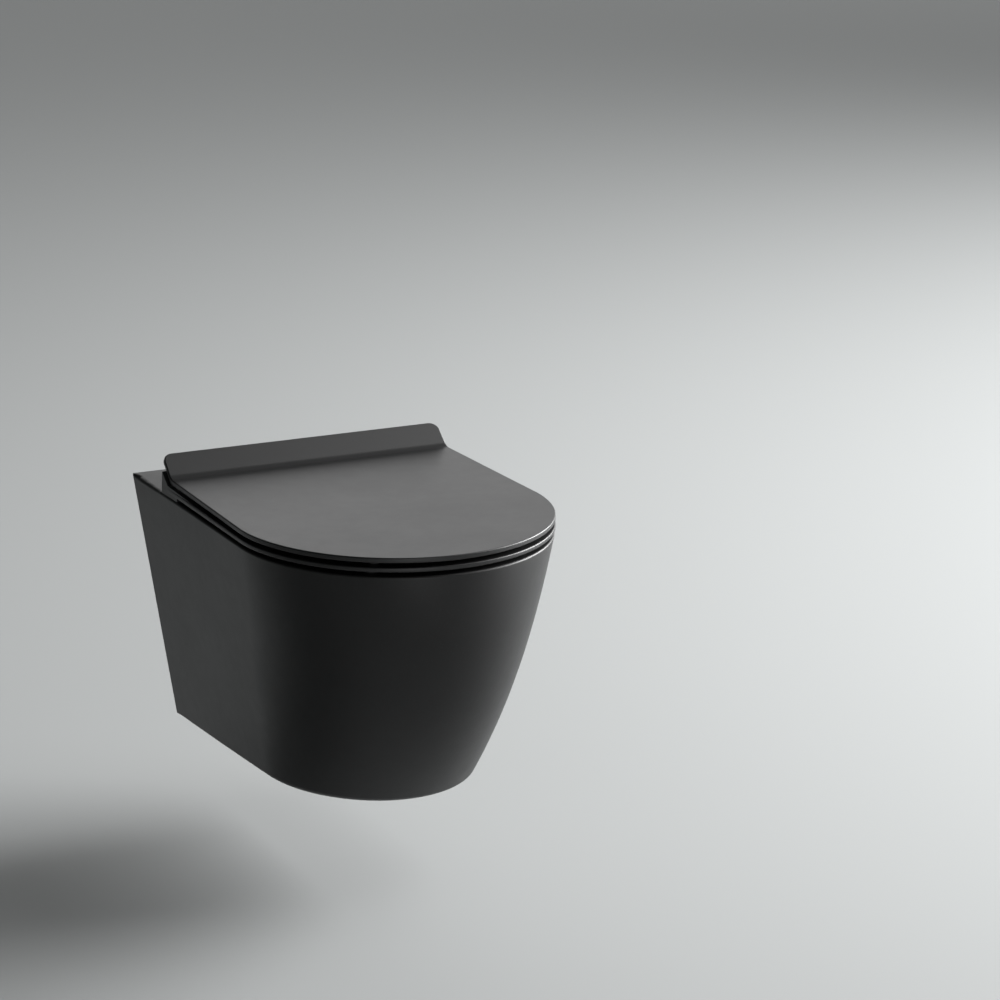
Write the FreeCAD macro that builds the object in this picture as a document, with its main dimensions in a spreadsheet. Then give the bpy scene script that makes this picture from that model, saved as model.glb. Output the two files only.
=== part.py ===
import FreeCAD, Part
import math
import os
import re

import Sketcher
from FreeCAD import Placement, Rotation, Vector

# A wall hung toilet. The origin is the midpoint of the two wall studs on the back face.
# X runs along the wall, Y into the wall, Z up, so the pan stands out towards -Y.

DIMENSIONS = {
    # ceramic pan: the outline at the rim, and how it changes down to the foot
    "rim_height": 90,            # rim above the stud line
    "pan_height": 297,
    "rim_rear_half": 173.5,      # half width where the rim meets the wall
    "rim_half_width": 179,
    "rim_straight": 342,         # wall to where the round nose begins
    "rim_length": 534,
    "rear_taper": 49.5,          # each of these four is taken off by the foot
    "side_taper": 59,
    "straight_taper": 84,
    "nose_taper": 128,
    "nose_bulge": 150,
    "wall_overlap": 5,           # sections drawn this far into the wall, then cut flat
    "rim_radius": 3,
    "foot_radius": 9,
    # walls of the hollow casting
    "shell_wall": 13,
    "deck_thick": 22,
    "foot_wall": 13,
    "basin_wall": 12,
    # basin
    "basin_half_width": 128,
    "basin_half_length": 163,
    "basin_centre": 327,
    # trap
    "trap_radius": 26,
    "trap_wall": 10,
    "trap_bend": 45,
    "trap_level": 166,           # sump below the stud line
    "weir_level": 78,
    "sump_front": 250,
    "sump_rear": 200,
    "trap_slope": 60,
    "trap_end": 57,
    # sockets for the pipes in the wall
    "waste_drop": 100,
    "waste_radius": 51,
    "waste_bore": 44,
    "waste_depth": 62,
    "inlet_rise": 35,
    "inlet_bore": 27.5,
    "inlet_outside": 38,
    "inlet_depth": 70,
    "inlet_reach": 194,          # wall to where the inlet's boss is cut by the basin
    "flush_bore": 18,
    # wall fixings
    "stud_spacing": 180,
    "stud_bore": 6.25,
    "sleeve_radius": 10.95,
    "sleeve_bore": 11,
    "lug_depth": 45,
    "lug_half_height": 24,
    "lug_inner": 68,             # centre line to the inner side of a stud lug
    "grub_radius": 5,
    "grub_bore": 5.05,
    "grub_length": 14,
    "grub_back": 30,             # grub screw behind the wall face
    "key_radius": 2.75,
    "access_bore": 8,
    # seat fixings
    "post_spacing": 155,
    "hinge_back": 86,            # hinge line in front of the wall
    "hinge_rise": 14,            # hinge line above the deck
    "seat_hole": 7,
    "sleeve_outside": 6.9,
    "rubber_length": 29,
    "cone_radius": 6.6,
    "cone_taper": 1.6,
    "cone_length": 12,
    "bolt_tail": 6,
    "bolt_radius": 4,
    "bolt_clearance": 4.1,
    "plate_radius": 18,
    "plate_thick": 3,
    "head_radius": 7,
    # hinge posts and pins
    "post_width": 15,
    "post_radius": 9,
    "pin_radius": 4,
    "pin_bore": 4.05,
    "pin_length": 50,
    "knuckle_width": 15.5,
    "knuckle_gap": 0.5,
    "web_drop": 0.5,             # each web starts this far inside its plate
    "damper_radius": 7,
    "collar_thick": 1.5,
    "collar_step": 1,
    "press_play": 0.05,
    "button_width": 7.6,
    "button_height": 4,
    "button_length": 9,
    "button_proud": 3,
    "button_low": 4.6,           # underside of the button above the deck
    "button_edge": 0.8,
    "slot_play": 0.15,
    # seat and lid
    "lid_half_width": 180,
    "lid_rear_half": 171,        # half width of the lid at its hinge side
    "seat_rear_half": 175,
    "seat_rear": 112,            # wall to the rear edge of the seat
    "lid_nose": 534,
    "seat_gap": 4.5,             # rim to seat
    "seat_thick": 5.5,
    "lid_gap": 5,
    "lid_thick": 6,
    "heel_front": 142,
    "heel_gap": 0.8,
    "hole_half_width": 118,
    "hole_half_length": 141,
    "hole_centre": 331,
    "seat_round": 1.4,
    "seat_under_round": 2,
    "cheek_inner": 163,          # centre line to the inner side of a cheek
    "cheek_front": 205,
    "cheek_middle": 145,
    "cheek_back": 95,
    "cheek_gap": 2,              # cheek to lid and flange
    "cheek_dip": 1.2,            # the cheek's slope lies this much lower at its middle
    "cheek_reach": 21,           # along the flange
    "lid_round": 1.5,
    # upturned rear flange of the lid
    "flange_top_back": 89,
    "flange_rise": 23,
    "flange_foot_back": 116,
    "flange_thick": 5.5,
    "flange_fillet": 16,
    "flange_corner": 11,
    # rubber buffers
    "seat_pad_radius": 7.5,
    "seat_pad_front_half": 88,   # centre line to buffer, then wall to buffer
    "seat_pad_front_back": 487,
    "seat_pad_rear_half": 150,
    "seat_pad_rear_back": 230,
    "lid_pad_radius": 6,
    "lid_pad_front_half": 86,
    "lid_pad_front_back": 490,
    "lid_pad_rear_half": 149,
    "lid_pad_rear_back": 250,
    "pad_play": 0.05,
    # flush spreader in front of the inlet
    "spreader_radius": 24,
    "spreader_thick": 4,
    "spreader_back": 184,
    "stem_radius": 17.9,
    "stem_bore": 15,
    "stem_start": 152,
    "stem_end": 172,
    "rib_thick": 3,
    # cutting solids run past the faces that they cut
    "cut_overrun": 1,
}

doc = FreeCAD.newDocument("wall_hung_toilet")
sheet = doc.addObject("Spreadsheet::Sheet", "dims")
for row, (alias, size) in enumerate(DIMENSIONS.items(), start=1):
    sheet.set(f"A{row}", alias)
    sheet.set(f"B{row}", str(size))
    sheet.setAlias(f"B{row}", alias)
doc.recompute()

NAMED = re.compile(r"\b[a-z]+(?:_[a-z]+)+\b")
DECK = "rim_height"
DECK_LOW = "(rim_height - deck_thick)"
FOOT = "(rim_height - pan_height)"
HINGE_Z = "(rim_height + hinge_rise)"
SEAT_LOW = "(rim_height + seat_gap)"
SEAT_TOP = "(rim_height + seat_gap + seat_thick)"
LID_LOW = "(rim_height + seat_gap + seat_thick + lid_gap)"
LID_TOP = "(rim_height + seat_gap + seat_thick + lid_gap + lid_thick)"
POST_X = "(post_spacing / 2)"
STUD_X = "(stud_spacing / 2)"


def formula(text):
    """Points every dimension's name in a formula at the sheet."""
    return NAMED.sub(lambda name: "dims." + name.group(0), text)


def number(text):
    """The value of a formula in millimetres, for a first placing."""
    return float(sheet.evalExpression(formula(text)))


def bind(target, **formulas):
    """Binds properties of an object to formulas."""
    for name, text in formulas.items():
        target.setExpression(name, formula(text))


def put(target, x="0", y="0", z="0", turn=None):
    """Places an object, its position bound to formulas."""
    target.Placement = Placement(Vector(number(x), number(y), number(z)), turn or Rotation())
    for axis, text in (("x", x), ("y", y), ("z", z)):
        target.setExpression(f"Placement.Base.{axis}", formula(text))


# --- sketches -----------------------------------------------------------------------------------

def new_body(label):
    body = doc.addObject("PartDesign::Body", label)
    body.Label = label
    return body


def new_sketch(body, name, role, offset="0"):
    """A sketch on one of its body's origin planes, moved off it by a formula."""
    plane = next(p for p in body.Origin.OriginFeatures if p.Role == role)
    sketch = body.newObject("Sketcher::SketchObject", name)
    sketch.AttachmentSupport = [(plane, "")]
    sketch.MapMode = "FlatFace"
    sketch.AttachmentOffset = Placement(Vector(0, 0, number(offset)), Rotation())
    bind(sketch, **{"AttachmentOffset.Base.z": offset})
    return sketch


def drive(sketch, kind, place, text):
    """Adds a dimension to a sketch and binds it to a formula."""
    index = sketch.addConstraint(Sketcher.Constraint(kind, *place, number(text)))
    sketch.setExpression(f"Constraints[{index}]", formula(text))


def tie(sketch, *rules):
    """Adds constraints that have no size."""
    for kind, *place in rules:
        sketch.addConstraint(Sketcher.Constraint(kind, *place))


def add_ellipse(sketch, half_width, half_length, centre, front_half=False):
    """An ellipse on the centre line, its long axis from the wall outwards, or its front half."""
    low = sketch.GeometryCount
    middle = Vector(0, -number(centre), 0)
    nose = middle - Vector(0, number(half_length), 0)
    curve = Part.Ellipse(nose, middle + Vector(number(half_width), 0, 0), middle)
    if front_half:
        curve = Part.ArcOfEllipse(curve, -math.pi / 2, math.pi / 2)
    sketch.addGeometry(curve)
    sketch.exposeInternalGeometry(low)
    tie(sketch, ("PointOnObject", low, 3, -2), ("Vertical", low + 1))
    drive(sketch, "DistanceY", (low, 3, -1, 1), centre)
    drive(sketch, "Distance", (low + 1,), f"2 * ({half_length})")
    drive(sketch, "Distance", (low + 2,), f"2 * ({half_width})")
    return low


def add_outline(sketch, rear_half, half_width, straight, nose, rear):
    """A D outline: a straight rear edge, two nearly straight sides and a half ellipse in front."""
    back = -number(rear)
    arc = add_ellipse(sketch, half_width, f"({nose}) - ({straight})", straight, front_half=True)
    rear_right = Vector(number(rear_half), back, 0)
    rear_left = Vector(-number(rear_half), back, 0)
    side_right = Vector(number(half_width), -number(straight), 0)
    side_left = Vector(-number(half_width), -number(straight), 0)
    first = sketch.addGeometry(Part.LineSegment(rear_right, rear_left))
    sketch.addGeometry(Part.LineSegment(rear_left, side_left))
    sketch.addGeometry(Part.LineSegment(side_right, rear_right))
    tie(sketch,
        ("Coincident", first, 2, first + 1, 1), ("Coincident", first + 1, 2, arc, 1),
        ("Coincident", arc, 2, first + 2, 1), ("Coincident", first + 2, 2, first, 1),
        ("PointOnObject", arc, 1, arc + 2), ("PointOnObject", arc, 2, arc + 2),
        ("Symmetric", first, 1, first, 2, -2))
    drive(sketch, "DistanceX", (first, 2, first, 1), f"2 * ({rear_half})")
    drive(sketch, "DistanceY", (first, 1), f"-({rear})")


def add_polygon(sketch, corners):
    """A closed polygon, each corner's two distances from the origin bound to formulas."""
    points = [Vector(number(x), number(y), 0) for x, y in corners]
    first = sketch.GeometryCount
    count = len(points)
    for i, point in enumerate(points):
        sketch.addGeometry(Part.LineSegment(point, points[(i + 1) % count]))
    for i in range(count):
        tie(sketch, ("Coincident", first + i, 2, first + (i + 1) % count, 1))
    for i, (x, y) in enumerate(corners):
        drive(sketch, "DistanceX", (first + i, 1), x)
        drive(sketch, "DistanceY", (first + i, 1), y)
    return first


def add_circle(sketch, x, y, radius):
    """A circle whose centre and radius are bound to formulas."""
    centre = Vector(number(x), number(y), 0)
    index = sketch.addGeometry(Part.Circle(centre, Vector(0, 0, 1), number(radius)))
    drive(sketch, "DistanceX", (index, 3), x)
    drive(sketch, "DistanceY", (index, 3), y)
    drive(sketch, "Radius", (index,), radius)


# --- features -----------------------------------------------------------------------------------

SAME_PLACE = 0.01                # closer than this, two places are one
NEAR_LINE = 0.05                 # how far a rounded edge's ends may lie off its profile
LEAST_CUT = 1                    # a pocket takes away at least this much, in cubic millimetres
SIDE_REACH = 1                   # a flange corner's edge lies this near the lid's side or further out


def feature(body, kind, name, profile, **formulas):
    made = body.newObject(f"PartDesign::{kind}", name)
    made.Profile = profile
    bind(made, **formulas)
    return made


def pad(body, name, sketch, length, both_ways=False):
    made = feature(body, "Pad", name, sketch, Length=length)
    made.Midplane = both_ways
    return made


def pocket_through(body, name, sketch):
    """A pocket through everything, both ways from its sketch."""
    doc.recompute()
    before = body.Shape.Volume
    made = feature(body, "Pocket", name, sketch)
    made.Type = "ThroughAll"
    made.Midplane = True
    doc.recompute()
    if not body.Shape.Volume < before - LEAST_CUT:
        raise RuntimeError(f"{name} cuts nothing")
    return made


def loft(body, name, sketches):
    made = feature(body, "AdditiveLoft", name, sketches[0])
    made.Sections = sketches[1:]
    doc.recompute()
    return made


def fillet(body, name, base, radius, wanted):
    """Rounds the edges of a feature whose bounds and middle pass a test."""
    doc.recompute()
    edges = [f"Edge{i}" for i, edge in enumerate(base.Shape.Edges, start=1) if wanted(edge)]
    made = body.newObject("PartDesign::Fillet", name)
    made.Base = (base, edges)
    bind(made, Radius=radius)
    doc.recompute()
    return made


def middle_of(edge):
    return edge.valueAt((edge.FirstParameter + edge.LastParameter) / 2)


def lies_at(edge, axis, level):
    """Whether the whole edge lies in one plane square to an axis."""
    box = edge.BoundBox
    low, high = getattr(box, f"{axis}Min"), getattr(box, f"{axis}Max")
    return abs(low - level) < SAME_PLACE and abs(high - level) < SAME_PLACE


# --- primitives and booleans --------------------------------------------------------------------

ALONG_X = Rotation(Vector(0, 1, 0), 90)
ALONG_WALLWARD = Rotation(Vector(1, 0, 0), -90)


def rod(name, radius, length, x="0", y="0", z="0", turn=None):
    made = doc.addObject("Part::Cylinder", name)
    bind(made, Radius=radius, Height=length)
    put(made, x, y, z, turn)
    return made


def block(name, width, depth, height, x, y, z):
    made = doc.addObject("Part::Box", name)
    bind(made, Length=width, Width=depth, Height=height)
    put(made, x, y, z)
    return made


def join(name, *pieces):
    made = doc.addObject("Part::MultiFuse", name)
    made.Shapes = list(pieces)
    return made


def overlap(name, *pieces):
    made = doc.addObject("Part::MultiCommon", name)
    made.Shapes = list(pieces)
    return made


def cut(name, base, tool):
    made = doc.addObject("Part::Cut", name)
    made.Base = base
    made.Tool = tool
    return made


def mirror(name, source):
    made = doc.addObject("Part::Mirroring", name)
    made.Source = source
    made.Normal = Vector(1, 0, 0)
    return made


def group(name, *pieces):
    """Separate solids kept together in one node."""
    made = doc.addObject("Part::Compound", name)
    made.Links = list(pieces)
    return made


def pair(name, source):
    return group(name, source, mirror(f"{name}_left", source))


nodes = {}


def keep(name, made):
    made.Label = name
    nodes[name] = made
    return made


# --- ceramic pan --------------------------------------------------------------------------------

# how far down the pan each section lies, from the rim to the foot
SECTION_STEPS = (0, 0.25, 0.5, 0.75, 1)


def pan_section(body, name, step, inset="0"):
    """One level of the tapering pan, drawn in by a wall thickness where asked."""
    sketch = new_sketch(body, name, "XY_Plane", f"rim_height - {step} * pan_height")
    add_outline(
        sketch,
        f"rim_rear_half - {step} * rear_taper - {inset}",
        f"rim_half_width - {step} * side_taper - {inset}",
        f"rim_straight - {step} * straight_taper",
        f"rim_length - {step} * nose_taper + {step * (1 - step)} * nose_bulge - {inset}",
        "-wall_overlap",
    )
    return sketch


def make_outside():
    """The casting's outer form, cut flat where it meets the wall."""
    body = new_body("pan_outside")
    solid = loft(body, "pan_loft",
                 [pan_section(body, f"level_{i}", step) for i, step in enumerate(SECTION_STEPS)])
    behind = number("wall_overlap")
    foot = number(FOOT)
    solid = fillet(body, "foot_rounding", solid, "foot_radius",
                   lambda e: lies_at(e, "Z", foot) and not lies_at(e, "Y", behind))
    fillet(body, "rim_rounding", solid, "rim_radius",
           lambda e: lies_at(e, "Z", number(DECK)) and not lies_at(e, "Y", behind))
    return cut("pan_flat_back", body, zone("wall_zone", FOOT, DECK, behind_wall=True))


def make_inside():
    """The outer form drawn in by the skin's thickness, from the foot plate up past the rim."""
    body = new_body("pan_inside")
    top = -number("wall_overlap / pan_height")
    bottom = number("1 - foot_wall / pan_height")
    steps = [top + part * (bottom - top) for part in SECTION_STEPS]
    loft(body, "inside_loft",
         [pan_section(body, f"inside_{i}", step, "shell_wall") for i, step in enumerate(steps)])
    return body


def zone(name, low, high, behind_wall=False):
    """A block wider than the pan between two levels, in front of the wall's face or behind it."""
    reach = "(rim_length + wall_overlap)"
    overrun = "wall_overlap" if behind_wall else "0"
    return block(name, f"2 * {reach}", reach, f"({high}) - ({low}) + 2 * {overrun}",
                 f"-{reach}", "0" if behind_wall else f"-{reach}", f"({low}) - {overrun}")


# depth below the rim, then how much narrower, shorter and nearer the wall the basin's oval is
BASIN_LEVELS = (
    (-5, 0, 0, 0),
    (30, 3, 3, 1),
    (110, 26, 33, 22),
    (185, 70, 86, 67),
    (250, 92, 117, 93),
    (282, 104, 131, 99),
)


def make_basin(label, wall="0"):
    """The basin's space, or the same grown by the thickness of its wall."""
    body = new_body(label)
    sketches = []
    for depth, narrower, shorter, nearer in BASIN_LEVELS:
        below = wall if depth == BASIN_LEVELS[-1][0] else "0"
        sketch = new_sketch(body, f"{label}_{len(sketches)}", "XY_Plane",
                            f"rim_height - ({depth}) - ({below})")
        add_ellipse(sketch, f"basin_half_width - {narrower} + {wall}",
                    f"basin_half_length - {shorter} + {wall}", f"basin_centre - {nearer}")
        sketches.append(sketch)
    loft(body, f"{label}_loft", sketches)
    return body


def make_trap(label, radius):
    """The water way from the sump, up over the weir and level to the outlet."""
    body = new_body(label)
    slope = math.radians(number("trap_slope"))
    bend = number("trap_bend")
    low, high = -number("trap_level"), -number("weir_level")
    start = Vector(-number("sump_front"), low, 0)
    turn_1 = Vector(-number("sump_rear"), low, 0)
    middle_1 = turn_1 + Vector(0, bend, 0)
    leave_1 = middle_1 + Vector(math.sin(slope), -math.cos(slope), 0) * bend
    rise = (high - low) - 2 * bend * (1 - math.cos(slope))
    turn_2 = leave_1 + Vector(rise / math.tan(slope), rise, 0)
    middle_2 = turn_2 + Vector(math.sin(slope), -math.cos(slope), 0) * bend
    leave_2 = middle_2 + Vector(0, bend, 0)
    end = Vector(-number("trap_end"), high, 0)
    path = new_sketch(body, f"{label}_path", "YZ_Plane")
    path.addGeometry(Part.LineSegment(start, turn_1))
    path.addGeometry(Part.ArcOfCircle(Part.Circle(middle_1, Vector(0, 0, 1), bend),
                                      -math.pi / 2, slope - math.pi / 2))
    path.addGeometry(Part.LineSegment(leave_1, turn_2))
    path.addGeometry(Part.ArcOfCircle(Part.Circle(middle_2, Vector(0, 0, 1), bend),
                                      math.pi / 2, slope + math.pi / 2))
    path.addGeometry(Part.LineSegment(leave_2, end))
    tie(path,
        ("Tangent", 0, 2, 1, 1), ("Tangent", 1, 2, 2, 1),
        ("Tangent", 2, 2, 3, 2), ("Tangent", 3, 1, 4, 1),
        ("Horizontal", 0), ("Horizontal", 4))
    drive(path, "DistanceX", (0, 1), "-sump_front")
    drive(path, "DistanceY", (0, 1), "-trap_level")
    drive(path, "DistanceX", (0, 2), "-sump_rear")
    drive(path, "Radius", (1,), "trap_bend")
    drive(path, "Radius", (3,), "trap_bend")
    drive(path, "DistanceX", (4, 2), "-trap_end")
    drive(path, "DistanceY", (4, 2), "-weir_level")
    line_angle = path.addConstraint(Sketcher.Constraint("Angle", 2, slope))
    path.setExpression(f"Constraints[{line_angle}]", formula("trap_slope * 1 deg"))
    mouth = new_sketch(body, f"{label}_mouth", "XZ_Plane", "sump_front")
    add_circle(mouth, "0", "-trap_level", radius)
    pipe = body.newObject("PartDesign::AdditivePipe", f"{label}_pipe")
    pipe.Profile = mouth
    pipe.Spine = path
    doc.recompute()
    return body


def wallward_rod(name, radius, depth, x="0", z="0", overrun="0"):
    """A rod from the wall's face outwards to a depth, or from a little behind that face."""
    return rod(name, radius, f"{depth} + {overrun}", x=x, y=f"-({depth})", z=z, turn=ALONG_WALLWARD)


def make_pan():
    """The one casting, as the simple shapes that it is stuck together from before it is fired."""
    inside = make_inside()
    lugs = [
        block("stud_lug_right", "rim_rear_half - lug_inner", "lug_depth", "2 * lug_half_height",
              "lug_inner", "-lug_depth", "-lug_half_height"),
        block("stud_lug_left", "rim_rear_half - lug_inner", "lug_depth", "2 * lug_half_height",
              "-rim_rear_half", "-lug_depth", "-lug_half_height"),
    ]
    skin = cut("skin_casting", make_outside(), cut("pan_cavity", inside, join("stud_lugs", *lugs)))
    deck = overlap("deck_casting", inside, zone("deck_zone", DECK_LOW, DECK))
    cavity = zone("cavity_zone", f"{FOOT} + foot_wall", DECK_LOW)
    basin_skin = make_basin("basin_skin", "basin_wall")
    basin = overlap("basin_casting", basin_skin, cavity)
    spigot_length = "(waste_depth + trap_wall)"
    trap_skin = cut("trap_skin_end", make_trap("trap_skin", "trap_radius + trap_wall"),
                    wallward_rod("spigot_room", "2 * waste_radius", spigot_length, z="-waste_drop"))
    spigot = wallward_rod("waste_spigot", "waste_radius", spigot_length, z="-waste_drop")
    trap = cut("trap_casting", overlap("trap_in_cavity", join("trap_run", trap_skin, spigot), cavity),
               basin_skin)
    boss = wallward_rod("inlet_boss", "inlet_outside", "inlet_reach", z="inlet_rise")
    inlet = cut("inlet_casting", overlap("inlet_in_cavity", boss, cavity), basin_skin)

    ways = [
        make_basin("basin_space"),
        make_trap("trap_space", "trap_radius"),
        wallward_rod("waste_way", "waste_bore", "waste_depth", z="-waste_drop",
                     overrun="cut_overrun"),
        wallward_rod("inlet_way", "inlet_bore", "inlet_depth", z="inlet_rise",
                     overrun="cut_overrun"),
        wallward_rod("flush_way", "flush_bore", "inlet_reach", z="inlet_rise"),
    ]
    stud_way = wallward_rod("stud_way", "sleeve_bore", "lug_depth + cut_overrun", x=STUD_X,
                            overrun="cut_overrun")
    grub_way = rod("grub_way", "grub_bore", "lug_half_height + cut_overrun", x=STUD_X,
                   y="-grub_back", z="-lug_half_height - cut_overrun")
    access_way = rod("access_way", "access_bore", "foot_wall + 2 * cut_overrun", x=STUD_X,
                     y="-grub_back", z=f"{FOOT} - cut_overrun")
    seat_way = rod("seat_way", "seat_hole", "deck_thick + 2 * cut_overrun", x=POST_X,
                   y="-hinge_back", z=f"{DECK_LOW} - cut_overrun")
    for way in (stud_way, grub_way, access_way, seat_way):
        ways += [way, mirror(f"{way.Name}_left", way)]
    ways = join("pan_ways", *ways)
    for name, casting in (("pan_skin", skin), ("pan_deck", deck), ("pan_basin", basin),
                          ("pan_trap", trap), ("pan_inlet", inlet)):
        keep(name, cut(name, casting, ways))


# --- wall fixings -------------------------------------------------------------------------------

def make_wall_fixings():
    sleeve = wallward_rod("sleeve_outside_rod", "sleeve_radius", "lug_depth", x=STUD_X)
    bore = wallward_rod("sleeve_stud_bore", "stud_bore", "lug_depth + cut_overrun", x=STUD_X,
                        overrun="cut_overrun")
    keep("stud_sleeves", pair("stud_sleeves", cut("stud_sleeve_right", sleeve, bore)))
    screw = rod("grub_screw_rod", "grub_radius", "grub_length", x=STUD_X, y="-grub_back",
                z="-sleeve_bore - grub_length")
    key = doc.addObject("Part::Prism", "grub_screw_key")
    key.Polygon = 6
    bind(key, Circumradius="key_radius", Height="grub_length / 2")
    put(key, STUD_X, "-grub_back", "-sleeve_bore - grub_length - cut_overrun")
    keep("grub_screws", pair("grub_screws", cut("grub_screw_right", screw, key)))


# --- flush spreader -----------------------------------------------------------------------------

def make_spreader():
    """A plug in the inlet with a disc on two ribs, which turns the water both ways."""
    tube = rod("spreader_tube", "stem_radius", "stem_end - stem_start", y="-stem_end",
               z="inlet_rise", turn=ALONG_WALLWARD)
    disc = rod("spreader_disc", "spreader_radius", "spreader_thick",
               y="-spreader_back - spreader_thick", z="inlet_rise", turn=ALONG_WALLWARD)
    ribs = [
        block(f"spreader_rib_{side}", "rib_thick", "spreader_back + spreader_thick - stem_start",
              "rib_thick", "-rib_thick / 2", "-spreader_back - spreader_thick", height)
        for side, height in (("top", "inlet_rise + stem_radius - rib_thick"),
                             ("low", "inlet_rise - stem_radius"))
    ]
    way = rod("spreader_way", "stem_bore", "stem_end - stem_start + 2 * cut_overrun",
              y="-stem_end - cut_overrun", z="inlet_rise", turn=ALONG_WALLWARD)
    keep("flush_spreader", join("flush_spreader", cut("spreader_ring", tube, way), disc, *ribs))


# --- seat fixings -------------------------------------------------------------------------------

def make_seat_fixings():
    """On each side: a countersunk plate, a bolt, a rubber sleeve that swells, and its cone nut."""
    plate = rod("plate_disc", "plate_radius", "plate_thick", x=POST_X, y="-hinge_back", z=DECK)
    sink = doc.addObject("Part::Cone", "plate_sink")
    bind(sink, Radius1="bolt_clearance", Radius2="head_radius + bolt_clearance - bolt_radius",
         Height="plate_thick")
    put(sink, POST_X, "-hinge_back", DECK)
    keep("hinge_plates", pair("hinge_plates", cut("hinge_plate_right", plate, sink)))

    head = doc.addObject("Part::Cone", "bolt_head")
    bind(head, Radius1="bolt_radius", Radius2="head_radius", Height="plate_thick")
    put(head, POST_X, "-hinge_back", DECK)
    shank = rod("bolt_shank", "bolt_radius", "rubber_length + cone_length + bolt_tail", x=POST_X,
                y="-hinge_back", z="rim_height - rubber_length - cone_length - bolt_tail")
    keep("hinge_bolts", pair("hinge_bolts", join("hinge_bolt_right", head, shank)))

    rubber = rod("rubber_rod", "sleeve_outside", "rubber_length", x=POST_X, y="-hinge_back",
                 z="rim_height - rubber_length")
    rubber_way = rod("rubber_way", "bolt_clearance", "rubber_length + 2 * cut_overrun", x=POST_X,
                     y="-hinge_back", z="rim_height - rubber_length - cut_overrun")
    keep("expansion_sleeves",
         pair("expansion_sleeves", cut("expansion_sleeve_right", rubber, rubber_way)))

    nut = doc.addObject("Part::Cone", "nut_cone")
    bind(nut, Radius1="cone_radius", Radius2="cone_radius - cone_taper", Height="cone_length")
    put(nut, POST_X, "-hinge_back", "rim_height - rubber_length - cone_length")
    nut_way = rod("nut_way", "bolt_clearance", "cone_length + 2 * cut_overrun", x=POST_X,
                  y="-hinge_back", z="rim_height - rubber_length - cone_length - cut_overrun")
    keep("cone_nuts", pair("cone_nuts", cut("cone_nut_right", nut, nut_way)))


# --- hinge posts, pins and release buttons ------------------------------------------------------

def make_post():
    """A rounded post bored for the pin, with a slot behind for its release button."""
    low = "rim_height + plate_thick"
    column = block("post_column", "post_width", "2 * post_radius", "hinge_rise - plate_thick",
                   f"{POST_X} - post_width / 2", "-hinge_back - post_radius", low)
    crown = rod("post_crown", "post_radius", "post_width", x=f"{POST_X} - post_width / 2",
                y="-hinge_back", z=HINGE_Z, turn=ALONG_X)
    bore = rod("post_bore", "pin_bore", "post_width + 2 * cut_overrun",
               x=f"{POST_X} - post_width / 2 - cut_overrun", y="-hinge_back", z=HINGE_Z,
               turn=ALONG_X)
    slot = block("post_slot", "button_width + 2 * slot_play", "button_length + 3 * cut_overrun",
                 "button_height + 2 * slot_play",
                 f"{POST_X} - button_width / 2 - slot_play",
                 "-hinge_back + post_radius - button_length - 2 * cut_overrun",
                 "rim_height + button_low - slot_play")
    solid = cut("hinge_post_right", join("post_solid", column, crown), join("post_ways", bore, slot))
    keep("hinge_post_right", solid)
    keep("hinge_post_left", mirror("hinge_post_left", solid))


def make_button():
    body = doc.addObject("Part::Box", "button_block")
    bind(body, Length="button_width", Width="button_length", Height="button_height")
    put(body, f"{POST_X} - button_width / 2",
        "-hinge_back + post_radius - button_length + button_proud", "rim_height + button_low")
    doc.recompute()
    rear = body.Shape.BoundBox.YMax
    rounded = doc.addObject("Part::Fillet", "release_button_right")
    rounded.Base = body
    edge = number("button_edge")
    rounded.Edges = [(i, edge, edge) for i, e in enumerate(body.Shape.Edges, start=1)
                     if lies_at(e, "Y", rear)]
    keep("release_button_right", rounded)
    keep("release_button_left", mirror("release_button_left", rounded))


def make_pins():
    pin = rod("hinge_pin_right", "pin_radius", "pin_length", x=f"{POST_X} - pin_length / 2",
              y="-hinge_back", z=HINGE_Z, turn=ALONG_X)
    keep("hinge_pins", pair("hinge_pins", pin))


# --- cartridges in the knuckles -----------------------------------------------------------------

SEAT_KNUCKLE_X = f"({POST_X} - post_width / 2 - knuckle_gap - knuckle_width)"
LID_KNUCKLE_X = f"({POST_X} + post_width / 2 + knuckle_gap)"


def make_cartridge(name, start, collar, side):
    """A ring that a knuckle holds and that turns on the pin. A damper's ring has a collar."""
    solid = rod(f"{name}_ring", "damper_radius - press_play", "knuckle_width", x=start,
                y="-hinge_back", z=HINGE_Z, turn=ALONG_X)
    if collar:
        rim = rod(f"{name}_collar", "damper_radius + collar_step", "collar_thick", x=collar,
                  y="-hinge_back", z=HINGE_Z, turn=ALONG_X)
        solid = join(f"{name}_turned", solid, rim)
    bore = rod(f"{name}_bore", "pin_bore", "knuckle_width + 4 * collar_thick",
               x=f"{start} - 2 * collar_thick", y="-hinge_back", z=HINGE_Z, turn=ALONG_X)
    made = cut(name if side > 0 else f"{name}_source", solid, bore)
    keep(name, made if side > 0 else mirror(name, made))


def make_cartridges():
    make_cartridge("seat_damper", SEAT_KNUCKLE_X, f"{SEAT_KNUCKLE_X} - collar_thick", 1)
    make_cartridge("seat_bush", SEAT_KNUCKLE_X, None, -1)
    make_cartridge("lid_damper", LID_KNUCKLE_X, f"{LID_KNUCKLE_X} + knuckle_width", -1)
    make_cartridge("lid_bush", LID_KNUCKLE_X, None, 1)


# --- seat ---------------------------------------------------------------------------------------

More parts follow.
